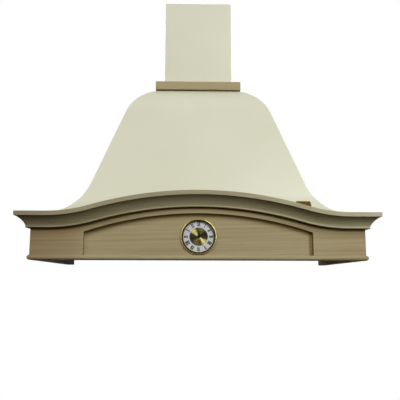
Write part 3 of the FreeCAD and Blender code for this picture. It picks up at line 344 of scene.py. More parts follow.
def windowGlass():
    # Flat clear mineral glass: almost unseen face on, brighter at a slant.
    finish, tree, shader = newFinish("clockGlass", Base_Color=colour("#1c2120"), Roughness=0.02, IOR=1.5)
    rim = addNode(tree, "ShaderNodeLayerWeight", {"Blend": 0.35})
    cover = addNode(tree, "ShaderNodeValToRGB", {"Fac": rim.outputs["Fresnel"]}, stops=((0.0, 0.03), (1.0, 0.5)))
    tree.links.new(cover.outputs["Color"], shader.inputs["Alpha"])
    return finish


def frostedGlass():
    # Acid-etched lens: milky, hides the lamp behind it.
    finish, tree, shader = newFinish("frostedLens", Roughness=0.55, Transmission_Weight=0.35, IOR=1.5)
    cloud = addNode(tree, "ShaderNodeTexNoise", {"Vector": realPlace(tree, 0.0014286), "Scale": 1.0})
    body = addNode(tree, "ShaderNodeValToRGB", {"Fac": cloud.outputs["Fac"]},
                   stops=((0.3, "#dcdcd2"), (0.7, "#ecebe2")))
    tree.links.new(body.outputs["Color"], shader.inputs["Base Color"])
    return finish


boardTones = ("#a79a77", "#a09370", "#978966")
mouldingTones = ("#b9b296", "#b4ad91", "#aea78a")
# painted shade: the boards darker towards the left end, where less light falls
boardPaintedShade = ((0.04, "#d9cdc8"), (0.17, "#f0e9e6"), (0.21, "#ffffff"), (0.80, "#ffffff"), (0.96, "#fbf7f3"))
# the mouldings darker towards the left end
mouldingDrift = ((0.02, "#bfb8b0"), (0.18, "#d6d2ca"), (0.55, "#dcd9d0"), (0.78, "#ebeae6"), (0.97, "#ffffff"))
# painted shade along y on the side boards' inner faces and undersides, darker towards the back
insidePaintedShade = ((0.06, "#ffffff"), (0.16, "#f0eee8"), (0.25, "#d3cfc5"), (0.35, "#a5a195"), (0.45, "#827d71"))
finishes = {
    "oak": sawnOak("sawnOakWide", boardTones, shift=(0.35, 0.36, 0.02), alongTones=boardPaintedShade),
    "oakDeep": sawnOak("sawnOakDeep", boardTones, alongDepth=True, shift=(0.2, 0.1, 0.14)),
    "oakInside": sawnOak("sawnOakInside", boardTones, alongDepth=True, shift=(0.2, 0.1, 0.14),
                         depthTones=insidePaintedShade),
    "oakMoulding": sawnOak("sawnOakMoulding", mouldingTones, shift=(0.1, 0.2, 0.5), alongTones=mouldingDrift),
    "oakMouldingDeep": sawnOak("sawnOakMouldingDeep", mouldingTones, alongDepth=True, shift=(0.3, 0.1, 0.5)),
    "cream_paint": powderCoat("ivoryPowderCoat", "#d3d3bd", "#cfceb7"),
    "galvanised_steel": zincSheet(),
    "stainless_steel": brushedMetal("brushedStainless", "#b9b9b6", "#9c9c9a", 0.34, 0.0015385, 0.16667),
    "aluminium": brushedMetal("millAluminium", "#c3c5c6", "#a9abac", 0.4, 0.0033333, 0.033333),
    "brass": polishedBrass("polishedBrass", "#ddd09c", "#c9b878", 0.34),
    # dark brass for the bezel's flat ring: a painted reflection of the dim room
    "paintedReflectionBrass": polishedBrass("brassPaintedDarkReflection", "#5d5632", "#454024", 0.3),
    "brownBrass": polishedBrass("brownedBrass", "#67501f", "#543e13", 0.42),   # tumbled, and gone brown
    "giltDisc": sunrayGold(),
    "glass": windowGlass(),
    "frosted_glass": frostedGlass(),
    "white_enamel": moulded("dialWhite", "#f3f4f6", 0.4, 0.0005556, 0.00002),
    "black_lacquer": moulded("handLacquer", "#15110d", 0.35, 0.0005556, 0.00001),
    "ink": moulded("dialInk", "#16181a", 0.5, 0.0005, 0.00001),
    "black_plastic": moulded("blackAbs", "#26272a", 0.5),
    "grey_plastic": moulded("greyAbs", "#7d8082", 0.5),
    "white_plastic": moulded("whiteAbs", "#dcdcd6", 0.32, 0.000625, 0.00003),
    "dark_steel": moulded("varnishedSteel", "#3c3d3f", 0.38, 0.0016667),
    "bright_steel": brushedMetal("brightSteel", "#c2c4c6", "#aeb0b2", 0.22, 0.0025),
    "battery_wrap": moulded("cellSleeve", "#4a4e55", 0.3, 0.0006667, 0.00001),
}
grainAlongDepth = ("side_board", "bead_left", "bead_right", "collar_left", "collar_right")
print("finishes made:", len(finishes))


def finishFor(name):
    slot = slotOf.get(name, name)
    if slot != "oak":
        return finishes[slot]
    if name.startswith("cornice"):
        return finishes["oakMoulding" if name == "cornice_front" else "oakMouldingDeep"]
    return finishes["oakDeep" if name.startswith(grainAlongDepth) else "oak"]


for name, node in nodes.items():   # what isn't dressed below is shown as its solid, with its finish
    node.data.materials.clear()
    node.data.materials.append(finishFor(name))


# meshes and pieces

def newMesh(form, name):
    mesh = bpy.data.meshes.new(name)
    form.to_mesh(mesh)
    form.free()
    return mesh


def newObject(name, data):
    thing = bpy.data.objects.new(name, data)
    bpy.context.scene.collection.objects.link(thing)
    return thing


def addPiece(name, mesh, body, finish, standsFor=()):
    piece = newObject(name, mesh)
    mesh.materials.clear()
    mesh.materials.append(finish)
    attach(piece, body)
    if standsFor:
        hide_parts(*standsFor)
    return piece


def thicken(form, way):
    # gives flat printed shapes a back and sides
    shell = bmesh.ops.extrude_face_region(form, geom=form.faces[:])
    moved = [item for item in shell["geom"] if isinstance(item, bmesh.types.BMVert)]
    bmesh.ops.translate(form, verts=moved, vec=way)
    bmesh.ops.recalc_face_normals(form, faces=form.faces[:])


def baked(piece):
    # the evaluated shape as a plain mesh
    bpy.context.view_layer.update()
    graph = bpy.context.evaluated_depsgraph_get()
    mesh = bpy.data.meshes.new_from_object(piece.evaluated_get(graph), depsgraph=graph)
    piece.modifiers.clear()
    return mesh


def softEdges(mesh, degrees):
    for face in mesh.polygons:
        face.use_smooth = True
    mesh.set_sharp_from_angle(angle=math.radians(degrees))


# degrees and metres: how the solids' facets are merged and their edges rounded
dressing = {"weld": 2e-6, "flat": 0.4, "sharp": 32, "steps": 2}


def dressed(name, ease):
    # A merged copy of a solid, with its curves shaded smooth and, where wanted, its edges eased.
    source = nodes[name]
    form = bmesh.new()
    for corner in source.data.vertices:
        form.verts.new(corner.co)
    form.verts.ensure_lookup_table()
    for face in source.data.polygons:
        form.faces.new([form.verts[i] for i in face.vertices])
    bmesh.ops.remove_doubles(form, verts=form.verts[:], dist=dressing["weld"])
    bmesh.ops.dissolve_limit(form, angle_limit=math.radians(dressing["flat"]), verts=form.verts[:],
                             edges=form.edges[:])
    mesh = newMesh(form, name + "Form")
    softEdges(mesh, dressing["sharp"])
    mesh.materials.append(finishFor(name))
    piece = newObject(name + "Skin", mesh)
    if ease:
        cut = piece.modifiers.new("ease", "BEVEL")
        cut.width, cut.segments, cut.limit_method = ease, dressing["steps"], "ANGLE"
        cut.angle_limit, cut.harden_normals = math.radians(dressing["sharp"]), False
    even = piece.modifiers.new("even", "WEIGHTED_NORMAL")
    even.keep_sharp = True
    piece.data = baked(piece)
    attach(piece, source["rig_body"])
    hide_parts(name)
    return piece


def lathe(outline, centre, rays):
    # Turns a closed outline of (radius, y) about the line through centre along Y; polar UV, u round, v outwards.
    form = bmesh.new()
    polar = form.loops.layers.uv.new("polar")
    reach = max(radius for radius, _ in outline)
    rings = []
    for radius, y in outline:
        ring = []
        for ray in range(rays):
            turn = math.tau * ray / rays
            ring.append(form.verts.new((centre.x + radius * math.sin(turn), y, centre.z + radius * math.cos(turn))))
        rings.append(ring)
    for index in range(len(rings)):
        near, far = rings[index], rings[(index + 1) % len(rings)]
        radii = (outline[index][0], outline[(index + 1) % len(rings)][0])
        for ray in range(rays):
            follow = (ray + 1) % rays
            face = form.faces.new((near[ray], near[follow], far[follow], far[ray]))
            spots = ((ray, 0), (ray + 1, 0), (ray + 1, 1), (ray, 1))
            for loop, (step, side) in zip(face.loops, spots):
                loop[polar].uv = (step / rays, radii[side] / reach)
    bmesh.ops.recalc_face_normals(form, faces=form.faces[:])
    return newMesh(form, "turned")


# sheet metal and woodwork keep the forms of the solids

# metres that the edges are rounded by
eased = {
    "front_board": 0.0006, "side_board_left": 0.0008, "side_board_right": 0.0008, "rear_rail": 0.0008,
    "collar_front": 0.0004, "collar_left": 0.0004, "collar_right": 0.0004,
    "control_fascia": 0.0004, "filter_frame_left": 0.0006, "filter_frame_right": 0.0006,
    "filter_latch_left": 0.0004, "filter_latch_right": 0.0004, "terminal_box": 0.0008, "switch_body": 0.0005,
}
curved = ("bell_shell", "chimney_lower", "chimney_upper", "cornice_front", "cornice_left", "cornice_right",
          "bead_front", "bead_left", "bead_right", "scroll_left", "scroll_right", "motor", "outlet_spigot",
          "cable_gland", "capacitor", "lamp_bezels", "lamp_cans", "clock_can", "clock_movement")
facingShare = 0.7   # of a face's normal that has to point inwards or down
for name in (*eased, *curved):
    piece = dressed(name, eased.get(name, 0.0))
    if name.startswith("side_board"):   # painted shade: its inner face and its underside get a darker finish, darker towards the back
        inwards = -1 if name.endswith("right") else 1
        piece.data.materials.append(finishes["oakInside"])
        for face in piece.data.polygons:
            if max(inwards * face.normal.x, -face.normal.z) > facingShare:
                face.material_index = 1
print("solids dressed:", len(eased) + len(curved))


# clock

# metres, and degrees for the creases
clockSizes = {
    "rays": 144,
    # the bezel: a round from its edge to its crest, then a step down to a flat ring round the glass
    "side": 0.0016, "roundFrom": 0.002, "roundSteps": 10, "roundWidth": 0.0026, "ringWidth": 0.0066,
    "step": 0.0003, "stepWidth": 0.0003, "innerEase": 0.0002, "innerLip": 0.0004, "brightWidth": 0.0005,
    "ringCrease": 35,
    # the gilt disc
    "hole": 0.0041, "discEase": 0.0003, "discDrop": 0.0002, "discRings": 6, "discCrease": 30,
    # the numerals
    "numeralInner": 0.0282, "numeralOuter": 0.0390, "thick": 0.0017, "thin": 0.0009, "serif": 0.0008,
    "serifSpread": 1.7, "letterGap": 0.0004, "vWidth": 0.0042, "xWidth": 0.0043, "print": 0.00006,
}
dialLow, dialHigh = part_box("clock_dial")
clockCentre = (dialLow + dialHigh) / 2


def bezelRing():
    # an outer round that catches the lamps, a small step down, and a flat ring round the glass in dark brass, a
    # painted reflection of the dim room in front
    low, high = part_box("clock_bezel")
    sizes = clockSizes
    reach, seat, top = (high.x - low.x) / 2, high.y, low.y
    crest, inner = reach - sizes["roundWidth"], reach - sizes["ringWidth"]
    start, flat = seat - sizes["roundFrom"], top + sizes["step"]
    outline = [(reach, seat), (reach, seat - sizes["side"])]
    for step in range(1, sizes["roundSteps"] + 1):
        turn = math.pi / 2 * step / sizes["roundSteps"]
        outline.append((crest + (reach - crest) * math.cos(turn), start - (start - top) * math.sin(turn)))
    outline += [(crest - sizes["stepWidth"], top), (crest - sizes["stepWidth"], flat),
                (inner + sizes["innerEase"], flat), (inner, flat + sizes["innerLip"]), (inner, seat)]
    mesh = lathe(outline, clockCentre, sizes["rays"])
    softEdges(mesh, sizes["ringCrease"])
    addPiece("bezelRing", mesh, "root", finishes["brass"], ["clock_bezel"])
    # painted reflection: the flat ring is dark where it would mirror the dim room
    mesh.materials.append(finishes["paintedReflectionBrass"])
    for face in mesh.polygons:
        away = face.center - clockCentre
        if math.hypot(away.x, away.z) < crest - sizes["brightWidth"]:
            face.material_index = 1


def gildedCentre():
    sizes = clockSizes
    low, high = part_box("clock_centre_disc")
    reach, front, back = (high.x - low.x) / 2, low.y, high.y
    hole, rings = sizes["hole"], sizes["discRings"]
    width = reach - sizes["discEase"] - hole
    outline = [(hole, back)] + [(hole + width * step / rings, front) for step in range(rings + 1)]
    outline += [(reach, front + sizes["discDrop"]), (reach, back)]
    mesh = lathe(outline, clockCentre, sizes["rays"])
    softEdges(mesh, sizes["discCrease"])
    addPiece("gildedCentre", mesh, "root", finishes["giltDisc"], ["clock_centre_disc"])


def stroke(form, start, end, width, y, place):
    # one printed stroke: a flat bar between two points of the letter, square to its height
    corners = [(start[0] - width / 2, start[1]), (start[0] + width / 2, start[1]),
               (end[0] + width / 2, end[1]), (end[0] - width / 2, end[1])]
    form.faces.new([form.verts.new(place(across, up, y)) for across, up in corners])


def numeral(form, letters, hour, y):
    sizes = clockSizes
    low, high = sizes["numeralInner"], sizes["numeralOuter"]
    thick, thin, serif = sizes["thick"], sizes["thin"], sizes["serif"]
    turn = math.radians(30 * hour)

    def place(across, up, depth):
        # the foot of each numeral points to the middle of the dial
        return (clockCentre.x + up * math.sin(turn) + across * math.cos(turn), depth,
                clockCentre.z + up * math.cos(turn) - across * math.sin(turn))

    widths = {"I": thick, "V": sizes["vWidth"], "X": sizes["xWidth"]}
    spot = -(sum(widths[letter] for letter in letters) + sizes["letterGap"] * (len(letters) - 1)) / 2
    for letter in letters:
        left, right = spot, spot + widths[letter]
        middle = (left + right) / 2
        if letter == "I":
            strokes = ((middle, middle, thick),)
            feet = (middle,)
        elif letter == "V":
            strokes = ((middle, left + thick / 2, thick), (middle + thick / 3, right - thin, thin))
            feet = (left + thick / 2, right - thin)
        else:
            strokes = ((right - thick / 2, left + thick / 2, thick), (left + thin, right - thin, thin))
            feet = (left + thick / 2, right - thick / 2)
        for foot, head, width in strokes:
            stroke(form, (foot, low), (head, high), width, y, place)
        heights = (high - serif,) if letter == "V" else (low, high - serif)
        for foot in feet:   # hair serifs along the top, and along the bottom of all but a V
            for height in heights:
                stroke(form, (foot, height), (foot, height + serif), thick * sizes["serifSpread"], y, place)
        spot = right + sizes["letterGap"]


def dialPrint():
    form = bmesh.new()
    for hour, letters in enumerate(("XII", "I", "II", "III", "IIII", "V", "VI", "VII", "VIII", "IX", "X", "XI")):
        numeral(form, letters, hour, dialLow.y)
    bmesh.ops.recalc_face_normals(form, faces=form.faces[:])
    for face in form.faces:
        if face.normal.y > 0:
            face.normal_flip()
    thicken(form, (0, -clockSizes["print"], 0))
    addPiece("dialPrint", newMesh(form, "ink"), "root", finishes["ink"])


bezelRing()
gildedCentre()
dialPrint()
print("clock dressed")


# bare plate on the bell

# metres, and degrees for the crease; x and top are its middle and its upper edge on the bell
plateSizes = {
    "x": 0.2965, "top": 0.1045, "width": 0.042, "height": 0.021, "thickness": 0.0008, "lift": 0.0002,
    "corner": 0.0018, "cornerSteps": 4, "edge": 0.00025, "edgeSteps": 2, "crease": 40,
    "span": 0.86,   # of its height, over which the bell's slope is taken
}


def barePlate():
    sizes = plateSizes
    skin = bpy.data.objects["bell_shellSkin"].data
    tree = BVHTree.FromPolygons([v.co for v in skin.vertices], [p.vertices[:] for p in skin.polygons])
    upper, lower = (
        tree.ray_cast(Vector((sizes["x"], -1.0, sizes["top"] - drop)), Vector((0, 1, 0)))[0]
        for drop in (0, sizes["height"] * sizes["span"]))
    up = (upper - lower).normalized()
    right = Vector((1, 0, 0))
    out = right.cross(up).normalized()
    if out.y > 0:
        out.negate()
    form = bmesh.new()
    bmesh.ops.create_cube(form, size=1.0, matrix=Matrix.Diagonal((
        sizes["width"], sizes["height"], sizes["thickness"], 1)))
    corners = [edge for edge in form.edges if edge.verts[0].co.z * edge.verts[1].co.z < 0]
    bmesh.ops.bevel(form, geom=corners, offset=sizes["corner"], segments=sizes["cornerSteps"], affect="EDGES")
    rim = [edge for edge in form.edges if min(v.co.z for v in edge.verts) > 0 and edge.calc_face_angle(0) > 1.0]
    bmesh.ops.bevel(form, geom=rim, offset=sizes["edge"], segments=sizes["edgeSteps"], affect="EDGES")
    middle = upper - up * sizes["height"] / 2 + out * (sizes["thickness"] / 2 + sizes["lift"])
    turn = Matrix((right, up, out)).transposed().to_4x4()
    bmesh.ops.transform(form, matrix=Matrix.Translation(middle) @ turn, verts=form.verts[:])
    bmesh.ops.recalc_face_normals(form, faces=form.faces[:])
    mesh = newMesh(form, "plate")
    softEdges(mesh, sizes["crease"])
    addPiece("barePlate", mesh, "root", finishes["brownBrass"])


barePlate()
print("plate set")


# screws

# radius and height of the head's side view, for a head of radius one, and the two slots of its cross
screwLook = {
    "rays": 20, "crease": 30, "recess": ((1.1, 0.2, 0.8), (0.2, 1.1, 0.8)), "recessPlace": 0.75,
    "profile": ((1.0, 0.0), (1.0, 0.22), (0.93, 0.42), (0.74, 0.58), (0.45, 0.67), (0.0, 0.70)),
}

# each row: what the screws hold, how far from its sides, their places along y, facing along z, head radius;
# a place is metres from the front edge, below zero from the back edge, and 0 in the middle
screwRows = (
    ("base_panel", 0.0085, (0.046, 0, -0.040), -1, 0.0034),
    ("control_fascia", 0.005, (0,), -1, 0.0021),
    ("outlet_spigot", 0.006, (0.006, -0.006), 1, 0.0030),
    ("terminal_box", 0.005, (0.006, -0.006), -1, 0.0022),
)
flangeLift = 0.003   # of the spigot's flange, above the top plate
motorScrews = {"inset": 0.002, "circle": 0.070, "turns": (60, 180, 300), "radius": 0.0028}


def screwHead():
    # A pan head with a cross recess, one unit in radius, standing on its seat and facing +Z.
    form = bmesh.new()
    *outline, (_, height) = screwLook["profile"]
    rays = screwLook["rays"]
    turns = [math.tau * ray / rays for ray in range(rays)]
    rings = [[form.verts.new((r * math.cos(turn), r * math.sin(turn), z)) for turn in turns] for r, z in outline]
    tip = form.verts.new((0, 0, height))
    form.faces.new(list(reversed(rings[0])))
    for ray in range(rays):
        follow = (ray + 1) % rays
        for near, far in zip(rings, rings[1:]):
            form.faces.new((near[ray], near[follow], far[follow], far[ray]))
        form.faces.new((rings[-1][ray], rings[-1][follow], tip))
    bmesh.ops.recalc_face_normals(form, faces=form.faces[:])
    head = newObject("screwHeadBlank", newMesh(form, "screwHead"))
    for size in screwLook["recess"]:
        form = bmesh.new()
        place = Matrix.Translation((0, 0, screwLook["recessPlace"]))
        bmesh.ops.create_cube(form, size=1.0, matrix=place @ Matrix.Diagonal((*size, 1)))
        cutter = newObject("cutter", newMesh(form, "cutter"))
        cut = head.modifiers.new("recess", "BOOLEAN")
        cut.object, cut.operation = cutter, "DIFFERENCE"
        head.data = baked(head)
        bpy.data.objects.remove(cutter)
    return head


def nodeTree(name, inputs):
    tree = bpy.data.node_groups.new(name, "GeometryNodeTree")
    tree.is_modifier = True
    sockets = {}
    tree.interface.new_socket("Geometry", in_out="INPUT", socket_type="NodeSocketGeometry")
    for label, kind in inputs:
        sockets[label] = tree.interface.new_socket(label, in_out="INPUT", socket_type=kind).identifier
    tree.interface.new_socket("Geometry", in_out="OUTPUT", socket_type="NodeSocketGeometry")
    start = addNode(tree, "NodeGroupInput")
    return tree, start, sockets


def screwTree():
    tree, start, sockets = nodeTree("screwRow", (("Head", "NodeSocketObject"), ("Finish", "NodeSocketMaterial")))
    facing = addNode(tree, "GeometryNodeInputNamedAttribute", {"Name": "facing"}, data_type="FLOAT_VECTOR")
    radius = addNode(tree, "GeometryNodeInputNamedAttribute", {"Name": "headRadius"}, data_type="FLOAT")
    head = addNode(tree, "GeometryNodeObjectInfo", {"Object": start.outputs["Head"]})
    turn = addNode(tree, "FunctionNodeAlignRotationToVector", {"Vector": facing.outputs["Attribute"]}, axis="Z")
    put = addNode(tree, "GeometryNodeInstanceOnPoints", {
        "Points": start.outputs["Geometry"], "Instance": head.outputs["Geometry"],
        "Rotation": turn.outputs["Rotation"], "Scale": radius.outputs["Attribute"]})
    real = addNode(tree, "GeometryNodeRealizeInstances", {"Geometry": put.outputs["Instances"]})
    paint = addNode(tree, "GeometryNodeSetMaterial", {
        "Geometry": real.outputs["Geometry"], "Material": start.outputs["Finish"]})
    addNode(tree, "NodeGroupOutput", {"Geometry": paint.outputs["Geometry"]})
    return tree, sockets


def screwSpots():
    # (place, facing, head radius) from the pieces that the screws hold
    spots = []
    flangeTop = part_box("bell_top_plate")[1].z + flangeLift
    for name, inset, insets, facing, radius in screwRows:
        low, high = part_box(name)
        z = flangeTop if facing > 0 else low.z
        for x in (low.x + inset, high.x - inset):
            for step in insets:
                edge = low.y if step > 0 else high.y
                y = edge + step if step else (low.y + high.y) / 2
                spots.append(((x, y, z), (0, 0, facing), radius))
    low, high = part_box("motor_shaft")
    axle = (low + high) / 2
    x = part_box("motor_mount")[1].x - motorScrews["inset"]
    for degrees in motorScrews["turns"]:
        turn, away = math.radians(degrees), motorScrews["circle"]
        spots.append(((x, axle.y + away * math.sin(turn), axle.z + away * math.cos(turn)), (-1, 0, 0),
                      motorScrews["radius"]))
    return spots


def fixingScrews():
    spots = screwSpots()
    mesh = bpy.data.meshes.new("screwPlaces")
    mesh.from_pydata([place for place, _, _ in spots], [], [])
    mesh.attributes.new("facing", "FLOAT_VECTOR", "POINT")
    mesh.attributes.new("headRadius", "FLOAT", "POINT")
    # looked up by name once both are there, because a new attribute moves the ones before it
    mesh.attributes["facing"].data.foreach_set("vector", [number for _, way, _ in spots for number in way])
    mesh.attributes["headRadius"].data.foreach_set("value", [size for _, _, size in spots])
    head = screwHead()
    tree, sockets = screwTree()
    piece = newObject("fixingScrews", mesh)
    row = piece.modifiers.new("screws", "NODES")
    row.node_group = tree
    row[sockets["Head"]] = head
    row[sockets["Finish"]] = finishes["bright_steel"]
    piece.data = baked(piece)
    bpy.data.objects.remove(head)
    softEdges(piece.data, screwLook["crease"])
    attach(piece, "root")


fixingScrews()
print("screws set")


# expanded mesh in the grease filters

filterMesh = {"pitch": 0.011, "rowGap": 0.0034, "strand": 0.0017, "edge": 0.0009,
              "layers": 3, "layerGap": 0.0015, "lift": 0.0008, "stagger": 0.37}


def strandTree():
    # One zigzag strand is drawn, then repeated row by row, each second row moved by half a pitch.
    tree, start, sockets = nodeTree("expandedMesh", (
        ("Pitch", "NodeSocketFloat"), ("Row gap", "NodeSocketFloat"), ("Strand", "NodeSocketFloat"),
        ("Steps", "NodeSocketInt"), ("Rows", "NodeSocketInt"), ("Finish", "NodeSocketMaterial")))
    rowGap, width = start.outputs["Row gap"], start.outputs["Strand"]
    half = addNode(tree, "ShaderNodeMath", {0: start.outputs["Pitch"], 1: 2.0}, operation="DIVIDE").outputs[0]
    index = addNode(tree, "GeometryNodeInputIndex").outputs[0]
    odd = addNode(tree, "ShaderNodeMath", {0: index, 1: 2.0}, operation="MODULO").outputs[0]
    raised = addNode(tree, "ShaderNodeMath", {0: odd, 1: rowGap}, operation="MULTIPLY").outputs[0]
    aside = addNode(tree, "ShaderNodeMath", {0: odd, 1: half}, operation="MULTIPLY").outputs[0]
    thickness = addNode(tree, "ShaderNodeMath", {0: width, 1: 2.0}, operation="DIVIDE").outputs[0]
    # the way to the next corner, how far that corner is raised, the way to the next row, how far that is aside
    onwards, upwards, across, sideways = (
        addNode(tree, "ShaderNodeCombineXYZ", {axis: value}).outputs[0]
        for axis, value in (("X", half), ("Y", raised), ("Y", rowGap), ("X", aside)))
    line = addNode(tree, "GeometryNodeMeshLine", {"Count": start.outputs["Steps"], "Offset": onwards})
    bent = addNode(tree, "GeometryNodeSetPosition", {"Geometry": line.outputs["Mesh"], "Offset": upwards})
    strand = addNode(tree, "GeometryNodeMeshToCurve", {"Mesh": bent.outputs["Geometry"]})
    section = addNode(tree, "GeometryNodeCurvePrimitiveQuadrilateral", {"Width": width, "Height": thickness})
    wire = addNode(tree, "GeometryNodeCurveToMesh", {
        "Curve": strand.outputs["Curve"], "Profile Curve": section.outputs["Curve"], "Fill Caps": True})
    rows = addNode(tree, "GeometryNodeMeshLine", {"Count": start.outputs["Rows"], "Offset": across})
    moved = addNode(tree, "GeometryNodeSetPosition", {"Geometry": rows.outputs["Mesh"], "Offset": sideways})
    put = addNode(tree, "GeometryNodeInstanceOnPoints", {
        "Points": moved.outputs["Geometry"], "Instance": wire.outputs["Mesh"]})
    real = addNode(tree, "GeometryNodeRealizeInstances", {"Geometry": put.outputs["Instances"]})
    paint = addNode(tree, "GeometryNodeSetMaterial", {
        "Geometry": real.outputs["Geometry"], "Material": start.outputs["Finish"]})
    addNode(tree, "NodeGroupOutput", {"Geometry": paint.outputs["Geometry"]})
    return tree, sockets


def greaseMesh(side, tree, sockets):
    low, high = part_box("filter_mesh_" + side)
    sizes = filterMesh
    half, rowGap, edge = sizes["pitch"] / 2, sizes["rowGap"], sizes["edge"]
    slack = edge + 2 * sizes["stagger"] * half   # room that the staggered layers share at both ends
    steps = int((high.x - low.x - half - slack) / half) + 1
    rows = int((high.y - low.y - 2 * edge) / rowGap) - 1
    spare = (high.x - low.x - steps * half) / 2
    form = bmesh.new()
    for layer in range(sizes["layers"]):
        holder = newObject("strands", bpy.data.meshes.new("strands"))
        weave = holder.modifiers.new("weave", "NODES")
        weave.node_group = tree
        for label, value in (("Pitch", sizes["pitch"]), ("Row gap", rowGap), ("Strand", sizes["strand"]),
                             ("Steps", steps), ("Rows", rows), ("Finish", finishes["aluminium"])):
            weave[sockets[label]] = value
        mesh = baked(holder)
        # the layers are laid out of step, so that nothing shows through
        shift = (layer - (sizes["layers"] - 1) / 2) * sizes["stagger"]
        mesh.transform(Matrix.Translation((
            low.x + spare + shift * half, low.y + edge + (shift + sizes["stagger"]) * rowGap,
            low.z + sizes["lift"] + layer * sizes["layerGap"])))
        form.from_mesh(mesh)
        bpy.data.objects.remove(holder)
    addPiece("greaseMesh_" + side, newMesh(form, "greaseMesh"), side + "_filter",
             finishes["aluminium"], ["filter_mesh_" + side])


weaveTree, weaveSockets = strandTree()
for side in ("left", "right"):
    greaseMesh(side, weaveTree, weaveSockets)
print("filters woven")


# marks on the buttons

# metres; the lamp's sign is a ring with rays round it
markSizes = {"height": 0.0072, "film": 0.00006, "ring": (0.0014, 0.0019), "ringSteps": 24,
             "ray": (0.0025, 0.0037), "rayWidth": 0.0004, "rays": 8}


def lampSign():
    sizes = markSizes
    near, far = sizes["ring"]
    start, end = sizes["ray"]
    side = sizes["rayWidth"] / 2
    form = bmesh.new()
    for step in range(sizes["ringSteps"]):
        a, b = (math.tau * k / sizes["ringSteps"] for k in (step, step + 1))
        form.faces.new([form.verts.new((reach * math.cos(turn), reach * math.sin(turn), 0))
                        for reach, turn in ((near, a), (far, a), (far, b), (near, b))])
    for step in range(sizes["rays"]):
        turn = Matrix.Rotation(math.tau * step / sizes["rays"], 3, "Z")
        form.faces.new([form.verts.new(turn @ Vector((x, y, 0)))
                        for x, y in ((start, -side), (end, -side), (end, side), (start, side))])
    bmesh.ops.remove_doubles(form, verts=form.verts[:], dist=1e-6)
    thicken(form, (0, 0, sizes["film"]))
    return newMesh(form, "lampMark")


def letterSign(text):
    letter = bpy.data.curves.new("letter", "FONT")
    letter.body, letter.size = text, markSizes["height"]
    letter.align_x, letter.align_y = "CENTER", "CENTER"
    letter.extrude = markSizes["film"] / 2
    holder = newObject("letter", letter)
    mesh = baked(holder)
    bpy.data.objects.remove(holder)
    return mesh


def buttonMark(button, text):
    low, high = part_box("button_" + button)
    mesh = letterSign(text) if text else lampSign()
    # seen from below with its top towards the room
    place = Matrix.Translation(((low.x + high.x) / 2, (low.y + high.y) / 2, low.z - markSizes["film"] / 2))
    mesh.transform(place @ Matrix.Rotation(math.pi, 4, "X"))
    addPiece(button + "Mark", mesh, button + "_button", finishes["black_plastic"])


for button, text in (("light", ""), ("off", "0"), ("low", "1"), ("medium", "2"), ("high", "3")):
    buttonMark(button, text)
print("buttons marked")


# camera, light and floor

studio = {
    "cameraPlace": (-0.0208, -1.8164, -0.1179), "pitch": 8.81, "yaw": 1.0, "roll": 0.148, "lens": 46.8,
    "roomGrey": 0.03, "floorPlace": (0, -0.2, -1.6), "floorSize": (3.8, 3.8), "floorGlow": 0.5,
    "floorTone": "#f0f0ee", "floorShade": "#181817",
    "cardPlace": (0, -3.9, 0.3), "cardSize": (16.0, 10.0), "cardTone": "#6e6b62",
}

lamps = {   # place, what it faces, metres across, watts
    "keyRight": ((1.35, -3.3, 1.55), (0, -0.3, 0.1), 1.1, 77),
    "sideRight": ((2.4, -2.2, 0.2), (0.2, -0.3, 0.1), 0.25, 14),
    "fillLeft": ((-2.2, -2.6, 1.5), (0, -0.3, 0.1), 1.8, 49),
    "behind": ((-0.9, 2.6, 1.5), (0, -0.2, 0.2), 2.0, 55),
    "overhead": ((0.1, -1.6, 2.9), (0, -0.3, 0.2), 2.0, 4),
}


def setCamera():
    lens = bpy.data.cameras.new("photoCamera")
    lens.sensor_width, lens.lens, lens.sensor_fit = 36.0, studio["lens"], "HORIZONTAL"
    lens.clip_start = 0.01
    camera = newObject("photoCamera", lens)
    aim = (Matrix.Rotation(-math.radians(studio["yaw"]), 4, "Z")
           @ Matrix.Rotation(math.radians(90 + studio["pitch"]), 4, "X")
           @ Matrix.Rotation(math.radians(studio["roll"]), 4, "Z"))
    camera.location = studio["cameraPlace"]
    camera.rotation_euler = aim.to_euler()
    bpy.context.scene.camera = camera


def softBox(name, place, target, size, watts):
    lamp = bpy.data.lights.new(name, "AREA")
    lamp.shape, lamp.size, lamp.energy = "SQUARE", size, watts
    holder = newObject(name, lamp)
    holder.location = place
    holder.rotation_euler = (Vector(target) - Vector(place)).to_track_quat("-Z", "Y").to_euler()


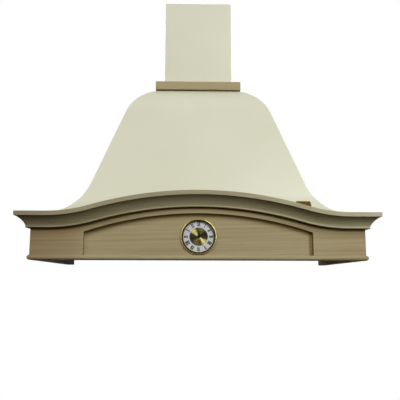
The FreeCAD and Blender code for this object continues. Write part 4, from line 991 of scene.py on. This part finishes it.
def setWorld():
    # white to the eye, in metal and through glass, and a dim grey room to everything else
    world = bpy.data.worlds.new("studioAir")
    world.use_nodes = True
    bpy.context.scene.world = world
    tree = world.node_tree
    tree.nodes.clear()
    rays = addNode(tree, "ShaderNodeLightPath")
    seen = rays.outputs["Is Camera Ray"]
    for ray in ("Is Glossy Ray", "Is Transmission Ray"):
        seen = addNode(tree, "ShaderNodeMath", {0: seen, 1: rays.outputs[ray]}, operation="MAXIMUM").outputs[0]
    room = addNode(tree, "ShaderNodeBackground", {"Color": colour("#ffffff"), "Strength": studio["roomGrey"]})
    white = addNode(tree, "ShaderNodeBackground", {"Color": colour("#ffffff"), "Strength": 1.0})
    mixed = addNode(tree, "ShaderNodeMixShader", {0: seen, 1: room.outputs[0], 2: white.outputs[0]})
    addNode(tree, "ShaderNodeOutputWorld", {"Surface": mixed.outputs[0]})


def flatSheet(name, size, place, finish):
    form = bmesh.new()
    bmesh.ops.create_grid(form, x_segments=1, y_segments=1, size=0.5, matrix=place @ Matrix.Diagonal((*size, 1, 1)))
    mesh = newMesh(form, name)
    mesh.materials.append(finish)
    sheet = newObject(name, mesh)
    return sheet


def setFloor():
    # pale to the eye, and darker to bounced light, so that the underside stays in shade
    finish, tree, shader = newFinish("paleFloor", Roughness=0.8, Emission_Color=colour("#ffffff"))
    seen = addNode(tree, "ShaderNodeLightPath").outputs["Is Camera Ray"]
    tone = addNode(tree, "ShaderNodeMix", {
        "Factor_Float": seen, "A_Color": colour(studio["floorShade"]), "B_Color": colour(studio["floorTone"])},
        data_type="RGBA")
    glow = addNode(tree, "ShaderNodeMath", {0: seen, 1: studio["floorGlow"]}, operation="MULTIPLY")
    tree.links.new(tone.outputs[2], shader.inputs["Base Color"])
    tree.links.new(glow.outputs[0], shader.inputs["Emission Strength"])
    flatSheet("floor", studio["floorSize"], Matrix.Translation(studio["floorPlace"]), finish)


def setCard():
    # the dim end of the studio, seen in polished metal alone
    finish = newFinish("studioCard", Base_Color=colour(studio["cardTone"]), Roughness=0.9)[0]
    place = Matrix.Translation(studio["cardPlace"]) @ Matrix.Rotation(math.pi / 2, 4, "X")
    flatSheet("studioCard", studio["cardSize"], place, finish).visible_camera = False


setCamera()
setWorld()
setFloor()
setCard()
for name, (place, target, size, watts) in lamps.items():
    softBox(name, place, target, size, watts)
print("studio set")

bpy.context.scene.view_settings.view_transform = "Standard"
